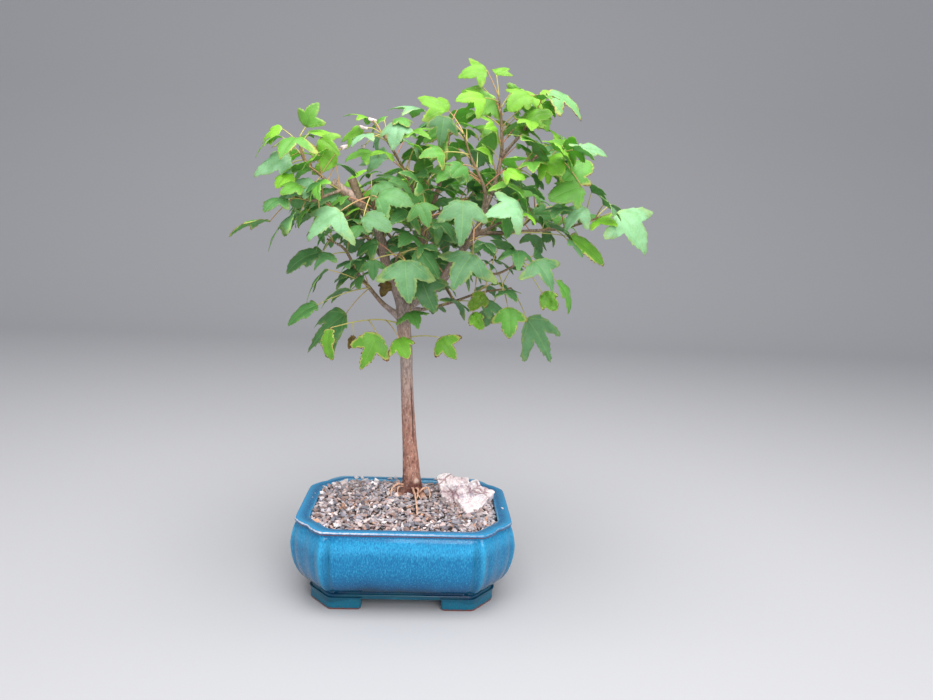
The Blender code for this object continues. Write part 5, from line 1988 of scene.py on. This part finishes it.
FILLING_LOOKS = (
    (325, (L.LIME, L.LIME, L.FRESH, L.EDGED, L.SHEENED)),
    (270, (L.FRESH, L.GREEN, L.GREEN, L.SATIN, L.LIME)),
    (-math.inf, (L.GREEN, L.DEEP, L.GREEN, L.SATIN)),
)
# The looks that filling leaves choose from above each height over the trunk's foot, in millimetres; the lighter
# looks higher up are partly painted light on the crown's top.
"""The looks that filling leaves choose from above each height over the trunk's foot, in millimetres."""

BLADE_SLAB = 0.01
"""A blade's thickness, as a share of its length, before it takes its real one."""


@dataclass
class Foliage:
    """All leaves: the named ones of the solid model, and smaller ones that fill the crown between them."""

    wood: Wood
    low: Vector
    high: Vector
    thickness: float = 0.00028
    stalk_radius: float = 0.00052
    arch: float = 0.10
    fold: float = 0.22
    droop: float = 1.2
    dried: tuple = (
        (-45, -28, 360), (-52, -34, 352), (-70, -46, 332), (-52, -38, 335), (-102, -52, 316),
        (-95, -50, 319), (-119, -52, 311), (109, -40, 338), (112, -40, 333), (126, -46, 322),
    )
    skyline: tuple = (
        (-200, 272), (-150, 330), (-110, 372), (-60, 360), (-25, 368), (5, 388), (35, 406), (80, 412),
        (110, 390), (130, 374), (142, 348), (190, 300), (230, 270),
    )
    box_margin: float = 0.004
    leaf_gap: float = 0.004
    crowding: float = 0.36
    seed: int = 7
    taken: list = field(default_factory=list)
    shown: list = field(default_factory=list)

    def outline(self, shape: LeafShape, rng: random.Random) -> list[Vector]:
        """The blade's outline, as shares of its length, from the right of its base round to the left.

        Args:
            shape: The kind of blade.
            rng: The source of its irregularity.

        Returns:
            The outline's points.
        """
        halves = []
        for _ in range(2):
            lobe_x, lobe_y, notch_x, notch_y = shape.value
            lobe_x *= rng.uniform(0.90, 1.10)
            lobe_y += rng.uniform(-0.04, 0.04)
            notch_x *= rng.uniform(0.88, 1.15)
            corners = [
                (0.015, 0.0), (0.10, 0.008), (0.22, 0.065), (0.37 * lobe_x / 0.6, 0.16),
                (lobe_x * 0.86, lobe_y * 0.62), (lobe_x * 1.04, lobe_y), (lobe_x * 0.86, lobe_y + 0.055),
                ((lobe_x + notch_x) / 2, (lobe_y + notch_y) / 2 + 0.035), (notch_x, notch_y),
                (notch_x * 0.98, notch_y + 0.10), (notch_x * 0.92, notch_y + 0.20),
                (notch_x * 0.72, notch_y + 0.31), (notch_x * 0.40, notch_y + 0.42), (0.0, 1.0),
            ]
            half = []
            for number, (a, b) in enumerate(zip(corners, corners[1:])):
                start, end = Vector(a), Vector(b)
                out = Vector(((end - start).y, -(end - start).x)).normalized()
                half.append(start)
                if number > 1:
                    tooth = 0.024 + rng.uniform(-0.012, 0.014)
                    half.append(start.lerp(end, 0.62) + out * tooth)
                    half.append(start.lerp(end, 0.74) + out * (tooth * 0.15))
                else:
                    half.append(start.lerp(end, 0.5) + out * 0.006)
            halves.append(half)
        right, left = halves
        return [*right, Vector((0, 1)), *[Vector((-spot.x, spot.y)) for spot in reversed(left)]]

    def flat_blade(self, shape: LeafShape, rng: random.Random) -> bmesh.types.BMesh:
        """A flat closed blade of length 1, cut into small faces so that it can bend.

        Args:
            shape: The kind of blade.
            rng: The source of its irregularity.

        Returns:
            The blade, with its margin and underside marked and its own flat map.
        """
        bm = bmesh.new()
        margin, under = layer(bm, "margin"), layer(bm, "underside")
        bm.faces.new([bm.verts.new((spot.x, spot.y, 0.0)) for spot in self.outline(shape, rng)])
        upright = [((x, 0, 0), (1, 0, 0)) for x in (-0.36, -0.24, -0.13, -0.05, 0, 0.05, 0.13, 0.24, 0.36)]
        level = [((0, y, 0), (0, 1, 0)) for y in (0.10, 0.20, 0.31, 0.42, 0.54, 0.67, 0.80, 0.91)]
        for place, normal in upright + level:
            geometry = [*bm.verts, *bm.edges, *bm.faces]
            bmesh.ops.bisect_plane(bm, geom=geometry, dist=1e-5, plane_co=place, plane_no=normal)
        for vert in bm.verts:
            vert[margin] = 1.0 if vert.is_boundary else 0.0
        bmesh.ops.triangulate(bm, faces=bm.faces)
        flat_map = bm.loops.layers.uv.new("blade")
        for face in bm.faces:
            for loop in face.loops:
                loop[flat_map].uv = (loop.vert.co.x + 0.5, loop.vert.co.y)
        if bm.faces[:][0].normal.z < 0:
            bmesh.ops.reverse_faces(bm, faces=bm.faces)
        bm.normal_update()
        bmesh.ops.solidify(bm, geom=bm.faces[:], thickness=BLADE_SLAB)
        lowest = min(vert.co.z for vert in bm.verts)
        highest = max(vert.co.z for vert in bm.verts)
        for vert in bm.verts:
            vert[under] = 1.0 if vert.co.z < (lowest + highest) / 2 else 0.0
        bmesh.ops.recalc_face_normals(bm, faces=bm.faces)
        return bm

    def bend(self, x: float, y: float, leaf: Leaf, salt: float) -> float:
        """How far a spot of the blade stands out of its plane.

        Args:
            x: Across, as a share of the length.
            y: Along, as a share of the length.
            leaf: The leaf.
            salt: A number of its own for each leaf.

        Returns:
            The height, as a share of the length.
        """
        arch, drop = 0.07 + 0.05 * math.sin(salt * 3.1) ** 2, 0.35 + 0.55 * math.sin(salt * 5.7) ** 2
        rise = arch * (4 * y * (1 - y)) - self.arch * self.droop * y * y
        rise += self.fold * abs(x) * (1 - y) - drop * max(0.0, abs(x) - 0.14) ** 1.25
        quilt = noise.noise(Vector((x * 5, y * 5, salt)))
        rise += 0.040 * quilt * (0.3 + abs(x) * 2)
        crease = abs(abs(x) * 0.62 - y * 0.79)
        rise += 0.12 * min(crease, 0.10) + 0.14 * min(abs(x), 0.08)
        if leaf.curl:
            rise += leaf.curl * (1.1 * abs(x) ** 1.5 + 0.25 * noise.noise(Vector((x * 7, y * 7, salt + 3))))
        return rise

    def grow(self, target: bmesh.types.BMesh, leaf: Leaf, start: Vector, base: Vector, tip: Vector,
             rng: random.Random) -> None:
        """Adds one leaf with its stalk to a group of leaves.

        Args:
            target: The group.
            leaf: The leaf's character.
            start: Where its stalk leaves the wood.
            base: Where its blade starts.
            tip: Where its blade ends.
            rng: The source of its irregularity.
        """
        length = (tip - base).length
        along = (tip - base) / length
        across = along.cross(leaf.face).normalized()
        normal = across.cross(along)
        blade = self.flat_blade(leaf.shape, rng)
        salt = rng.uniform(0, 50)
        glow, painted_sheen, scorch, dead = leaf.look.value
        above = (base.z - self.wood.foot.z) / MM
        # Leaves are lighter higher up and darker lower down: partly painted light on the crown's top and painted
        # shade below.
        if leaf.look in (L.GREEN, L.FRESH, L.SATIN):
            glow += 0.25 * min(1.0, max(-0.6, (above - 300) / 90))
        values = {"glow": clamp(glow + rng.uniform(-0.07, 0.07)), "painted_sheen": painted_sheen,
                  "scorch": max(0.0, scorch + rng.uniform(-0.05, 0.12)), "dead": dead,
                  "tone": rng.random(), "blush": 0.0}
        layers = {name: layer(blade, name) for name in values}
        twist, sway = rng.uniform(-0.45, 0.45), rng.uniform(-0.05, 0.05)
        for vert in blade.verts:
            x, y, z = vert.co
            lift = self.bend(x, y, leaf, salt)
            lift += twist * x * y
            shrink = 1 - 0.35 * leaf.curl * abs(x)
            x += sway * math.sin(math.pi * y)
            vert.co = (base + along * y * length + across * x * shrink * length + normal * lift * length
                       + normal * (z / BLADE_SLAB) * self.thickness)
            for name, value in values.items():
                vert[layers[name]] = value
        absorb(target, blade)
        steps = 7
        rise = UP * (base - start).length * 0.10
        line = []
        for i in range(steps + 1):
            t = i / steps
            line.append(start.lerp(base + normal * self.thickness, t) + rise * t * (1 - t) * 4 * 0.5)
        radii = [self.stalk_radius * (1.25 - 0.45 * i / steps) for i in range(steps + 1)]
        blush = rng.choice((0.0, 0.2, 0.5, 0.9)) if above > 230 else rng.choice((0.0, 0.1, 0.3))
        stalk = sweep(line, radii, 6, {"blush": lambda share: blush})
        for face in stalk.faces:
            face.material_index = 1
        absorb(target, stalk)
        self.taken.append((base.lerp(tip, 0.5), length))

    def plant(self, target: bmesh.types.BMesh, leaves: Iterable[Leaf], rng: random.Random) -> None:
        """Adds leaves whose places are given.

        Args:
            target: The group that they join.
            leaves: The leaves.
            rng: The source of their irregularity.
        """
        lines = self.wood.lines()
        for leaf in leaves:
            base, tip = self.wood.at(leaf.base), self.wood.at(leaf.tip)
            start = self.wood.at(leaf.root) if leaf.root else self.stalk_start(base, lines)
            self.grow(target, leaf, start, base, tip, rng)

    def stalk_start(self, base: Vector, lines: Sequence[tuple[list[Vector], list[float]]]) -> Vector:
        """Where a stalk leaves the nearest wood.

        Args:
            base: Where the blade starts.
            lines: The wood's centre lines and radii.

        Returns:
            The spot, a little inside the bark.
        """
        best = None
        for line, radii in lines:
            for a, b, radius in zip(line, line[1:], radii):
                near, share = intersect_point_line(base, a, b)
                near = a.lerp(b, clamp(share))
                distance = (base - near).length
                if best is None or distance < best[0]:
                    best = (distance, near, radius)
        _, near, radius = best
        return near + (base - near).normalized() * radius * 0.7

    def build_named(self, materials: Sequence[bpy.types.Material]) -> None:
        """Builds the leaves that the solid model has, one piece for each side of the crown.

        Args:
            materials: The blades' and the stalks' materials.
        """
        rng = random.Random(self.seed)
        for side, leaves in NAMED_LEAVES.items():
            bm = bmesh.new()
            self.plant(bm, leaves, rng)
            nodes = [f"leaf_{side}_{number:02d}" for number in range(1, len(leaves) + 1)]
            hand_over(loose_object(f"leaves_{side}", bm), materials, nodes)

    def build_dried(self, material: bpy.types.Material, stalk: bpy.types.Material) -> None:
        """Builds the little dried flower heads, each on its own stalk.

        Args:
            material: The heads' material.
            stalk: The stalks' material.
        """
        rng = random.Random(self.seed + 3)
        lines = self.wood.lines()
        bm = bmesh.new()
        for spot in self.dried:
            place = self.wood.at(spot)
            head = bmesh.new()
            bmesh.ops.create_icosphere(head, subdivisions=2, radius=1.0)
            for vert in head.verts:
                vert.co *= 1 + 1.15 * noise.noise(vert.co * 2.6 + place * 900)
            size = Matrix.Diagonal((rng.uniform(3.4, 4.9) * MM, 2.0 * MM, rng.uniform(1.2, 1.8) * MM, 1))
            turn = Matrix.Rotation(rng.uniform(-0.6, 0.6), 4, "Y") @ Matrix.Rotation(rng.uniform(0, 3), 4, "Z")
            bmesh.ops.transform(head, matrix=Matrix.Translation(place) @ turn @ size, verts=head.verts)
            absorb(bm, head)
            start = self.stalk_start(place, lines)
            line = smooth_line([start, start.lerp(place, 0.5) + UP * 0.002, place], 4)
            stem = sweep(line, [self.stalk_radius] * len(line), 6)
            for face in stem.faces:
                face.material_index = 1
            absorb(bm, stem)
        hand_over(loose_object("dried_flower_heads", bm), [material, stalk])

    def build_inner(self, materials: Sequence[bpy.types.Material]) -> None:
        """Builds the placed leaves between the named ones.

        Args:
            materials: The blades' and the stalks' materials.
        """
        bm = bmesh.new()
        self.plant(bm, INNER_LEAVES, random.Random(self.seed + 1))
        hand_over(loose_object("leaves_inner", bm), materials)

    def fits(self, base: Vector, tip: Vector) -> bool:
        """Whether a leaf there stays in the crown and clear of the leaves already placed.

        Args:
            base: Where its blade starts.
            tip: Where its blade ends.

        Returns:
            True if it does.
        """
        middle = base.lerp(tip, 0.5)
        for spot in (base, tip):
            across, above = (spot.x - self.wood.foot.x) / MM, (spot.z - self.wood.foot.z) / MM
            for (left, from_left), (right, from_right) in zip(self.skyline, self.skyline[1:]):
                share = (across - left) / (right - left)
                if 0 <= share <= 1 and above > from_left + (from_right - from_left) * share:
                    return False
            if any(spot[i] < self.low[i] + self.box_margin or spot[i] > self.high[i] - self.box_margin
                   for i in range(3)):
                return False
        for other, length in self.taken:
            if (other - middle).length < self.crowding * (length + (tip - base).length) / 2 + self.leaf_gap:
                return False
        return True

    def hides_limb(self, base: Vector, tip: Vector) -> bool:
        """Whether a leaf there would hang right in front of a main limb.

        Args:
            base: Where its blade starts.
            tip: Where its blade ends.

        Returns:
            True if it would.
        """
        middle = base.lerp(tip, 0.5)
        for point in self.shown:
            away = point - middle
            if away.y > 0 and math.hypot(away.x, away.z + 0.15 * away.y) < 0.5 * (tip - base).length:
                return True
        return False

    def build_filling(self, materials: Sequence[bpy.types.Material]) -> None:
        """Fills the crown with smaller leaves in pairs along the twigs.

        Args:
            materials: The blades' and the stalks' materials.
        """
        rng = random.Random(self.seed + 2)
        limbs = {**MAIN_LIMBS, **TWIGS}
        self.shown = [point for name in ("left_main", "left_stub", "right_main", "top_right", "top_front")
                      for point in self.wood.line(limbs[name], 4)[0]]
        groups = {"left": bmesh.new(), "middle": bmesh.new(), "right": bmesh.new()}
        count = 0
        for name, number in FILLING_PAIRS.items():
            line = self.wood.line(limbs[name], 6)[0]
            ways = tangents(line)
            for k in range(number):
                share = 0.30 + 0.70 * (k + rng.uniform(0.2, 0.8)) / number
                i = min(len(line) - 1, int(share * (len(line) - 1)))
                side = ways[i].cross(UP)
                side = side.normalized() if side.length > 0.2 else Vector((1, 0, 0))
                spin = Matrix.Rotation(math.pi / 2 * (k % 2) + rng.uniform(-0.5, 0.5), 3, ways[i])
                for sign in (-1, 1):
                    for _ in range(4):
                        out = (spin @ side) * sign + ways[i] * rng.uniform(0.1, 0.9)
                        out += UP * rng.uniform(0.0, 0.8)
                        out += Vector((rng.gauss(0, 0.3), rng.gauss(0, 0.3), rng.gauss(0, 0.2)))
                        out.normalize()
                        base = line[i] + out * rng.uniform(0.012, 0.030)
                        reach = Vector((out.x, out.y, out.z * 0.3)) + Vector((0, 0, -rng.uniform(0.1, 0.7)))
                        tip = base + reach.normalized() * rng.uniform(0.019, 0.033)
                        if self.fits(base, tip) and not self.hides_limb(base, tip):
                            break
                    else:
                        continue
                    above = (base.z - self.wood.foot.z) / MM
                    look = rng.choice(next(looks for floor, looks in FILLING_LOOKS if above > floor))
                    away = (base - self.wood.foot).to_2d()
                    lean = Vector((*away.normalized(), 0)) * min(1.0, away.length / 0.05) * 0.6
                    face = UP + lean + Vector((rng.gauss(0, 0.35), rng.gauss(-0.2, 0.4), rng.gauss(0, 0.2)))
                    leaf = Leaf((), (), face, look, rng.choice((S.BROAD, S.LONG, S.SHALLOW, S.WIDE)))
                    group = "left" if base.x < self.wood.foot.x - 0.03 else "middle"
                    group = "right" if base.x > self.wood.foot.x + 0.04 else group
                    self.grow(groups[group], leaf, line[i], base, tip, rng)
                    count += 1
        for name, bm in groups.items():
            hand_over(loose_object(f"leaves_filling_{name}", bm), materials)
        LOG.info("%d filling leaves", count)


# ---------------------------------------------------------------- studio


@dataclass
class Studio:
    """The pale floor, the soft lights and the camera, whose turn is its pitch, yaw and roll in degrees."""

    pot: Pot
    paper: tuple = (0.46, 0.46, 0.475, 1.0)
    camera_turn: tuple = (7.96, 3.02, 2.37)
    camera_place: tuple = (0.0165, -0.7035, 0.2521)
    lens: float = 28.55

    def floor(self) -> None:
        """A pale floor that curves up behind the pot."""
        bm = bmesh.new()
        ends = [bm.verts.new((-4.0, -2.6, 0.0)), bm.verts.new((4.0, -2.6, 0.0))]
        edge = bm.edges.new(ends)
        moves = [(0, 4.4, 0)]
        for i in range(12):
            turn = math.pi / 2 * (i + 0.5) / 12
            moves.append((0, 0.13 * math.cos(turn), 0.13 * math.sin(turn)))
        moves.append((0, 0, 3.0))
        for move in moves:
            grown = bmesh.ops.extrude_edge_only(bm, edges=[edge])["geom"]
            verts = [item for item in grown if isinstance(item, bmesh.types.BMVert)]
            edge = [item for item in grown if isinstance(item, bmesh.types.BMEdge)
                    and set(item.verts) == set(verts)][0]
            bmesh.ops.translate(bm, verts=verts, vec=move)
        bmesh.ops.recalc_face_normals(bm, faces=bm.faces)
        floor = loose_object("studio_floor", bm)
        finish = Finish("pale_paper")
        finish.set(Base_Color=self.paper, Roughness=0.9)
        floor.data.materials.append(finish.material)

    def light(self, name: str, place: Sequence[float], aim: Sequence[float], size: float, power: float,
              colour: Sequence[float] = (1, 1, 1)) -> None:
        """A soft square light.

        Args:
            name: Its name.
            place: Where it hangs.
            aim: Where it points.
            size: The length of its side.
            power: Its power in watts.
            colour: Its colour.
        """
        data = bpy.data.lights.new(name, "AREA")
        data.shape = "SQUARE"
        data.size = size
        data.energy = power
        data.color = colour
        lamp = bpy.data.objects.new(name, data)
        lamp.location = place
        lamp.rotation_euler = (Vector(aim) - Vector(place)).to_track_quat("-Z", "Y").to_euler()
        bpy.context.scene.collection.objects.link(lamp)

    def lights(self) -> None:
        """A large light overhead, a broad one in front, and an even sky."""
        self.light("overhead_light", (0.05, -0.35, 1.5), (0, 0, 0.2), 1.3, 27, (1.0, 0.99, 0.98))
        self.light("front_light", (0.40, -1.70, 0.9), (0, 0, 0.2), 1.1, 19, (1.0, 0.99, 0.99))
        world = bpy.data.worlds.new("studio_sky")
        world.use_nodes = True
        sky = world.node_tree.nodes["Background"]
        sky.inputs[0].default_value = (0.93, 0.95, 1.0, 1.0)
        sky.inputs[1].default_value = 0.62
        bpy.context.scene.world = world

    def camera(self) -> None:
        """The camera, a little above the crown's foot and tipped slightly down."""
        pitch, yaw, roll = (math.radians(angle) for angle in self.camera_turn)
        forward = Vector((math.sin(yaw) * math.cos(pitch), math.cos(yaw) * math.cos(pitch), -math.sin(pitch)))
        right = Vector((math.cos(yaw), -math.sin(yaw), 0.0))
        up = right.cross(forward)
        level_right = right * math.cos(roll) + up * math.sin(roll)
        level_up = up * math.cos(roll) - right * math.sin(roll)
        turn = Matrix((level_right, level_up, -forward)).transposed().to_4x4()
        data = bpy.data.cameras.new("studio_camera")
        data.sensor_width = 36.0
        data.lens = self.lens
        data.clip_start = 0.01
        camera = bpy.data.objects.new("studio_camera", data)
        centre, (right_by, back_by, above_by) = self.pot.centre, self.camera_place
        place = Vector((centre.x + right_by, centre.y + back_by, self.pot.height + above_by))
        camera.matrix_world = Matrix.Translation(place) @ turn
        bpy.context.scene.collection.objects.link(camera)
        bpy.context.scene.camera = camera

    def build(self) -> None:
        """Sets up the whole studio."""
        bpy.context.scene.view_settings.view_transform = "Standard"
        self.floor()
        self.lights()
        self.camera()


# ---------------------------------------------------------------- whole object


def dress_nodes(names: Iterable[str], material: bpy.types.Material) -> None:
    """Gives solid-model nodes that stay on show a new material.

    Args:
        names: The nodes.
        material: Their material.
    """
    for name in names:
        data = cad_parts[name].data
        data.materials.clear()
        data.materials.append(material)
        LOG.info("%s: dressed", name)


def main() -> None:
    """Builds everything in order."""
    logging.basicConfig(level=logging.INFO, format="%(name)s %(message)s")
    effects = SharedEffects()
    low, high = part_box("pot")
    middle = (low + high) / 2
    pot = Pot(centre=Vector((middle.x, middle.y, 0.0)))
    foot = Vector((middle.x + TREE_FROM_MIDDLE[0], middle.y + TREE_FROM_MIDDLE[1],
                   pot.height - GRAVEL_BELOW_RIM + MOUND_HEIGHT))
    rock = QuartzRock(Vector((foot.x + ROCK_FROM_TREE[0], foot.y + ROCK_FROM_TREE[1],
                              pot.height - GRAVEL_BELOW_RIM)))
    wood = Wood(foot)
    gravel = Gravel(pot, foot, rock, wood.bare_roots())
    bark = Bark(foot.z).build(effects)
    leaf_materials = [LeafGreen().build(effects), StalkGreen().build(effects)]
    low = Vector([min(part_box(name)[0][i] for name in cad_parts) for i in range(3)])
    high = Vector([max(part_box(name)[1][i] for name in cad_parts) for i in range(3)])
    foliage = Foliage(wood, low, high)

    pot.build(Glaze(pot.height).build(effects))
    gravel.bed(DarkGritBed("gravel_bed").build(effects))
    gravel.chips(Stone().build(effects))
    rock.build(Quartz().build(effects))
    wood.stout(bark)
    wood.twigs(bark, leaf_materials[1])
    foliage.build_named(leaf_materials)
    foliage.build_inner(leaf_materials)
    foliage.build_dried(PlainPart("dried_petals", (0.84, 0.64, 0.62), 0.8).build(effects), leaf_materials[1])
    foliage.build_filling(leaf_materials)
    dress_nodes(["potting_soil"], DarkGritBed("potting_soil", (0.020, 0.013, 0.009), (0.09, 0.06, 0.04)).build(effects))
    dress_nodes(["drain_screen_left", "drain_screen_right"],
                PlainPart("screen_plastic", (0.022, 0.022, 0.024), 0.55).build(effects))
    dress_nodes(["screen_wire_left", "screen_wire_right"],
                PlainPart("screen_wire", (0.55, 0.53, 0.50), 0.40, 1.0).build(effects))
    Studio(pot).build()


if __name__ == "__main__":
    main()
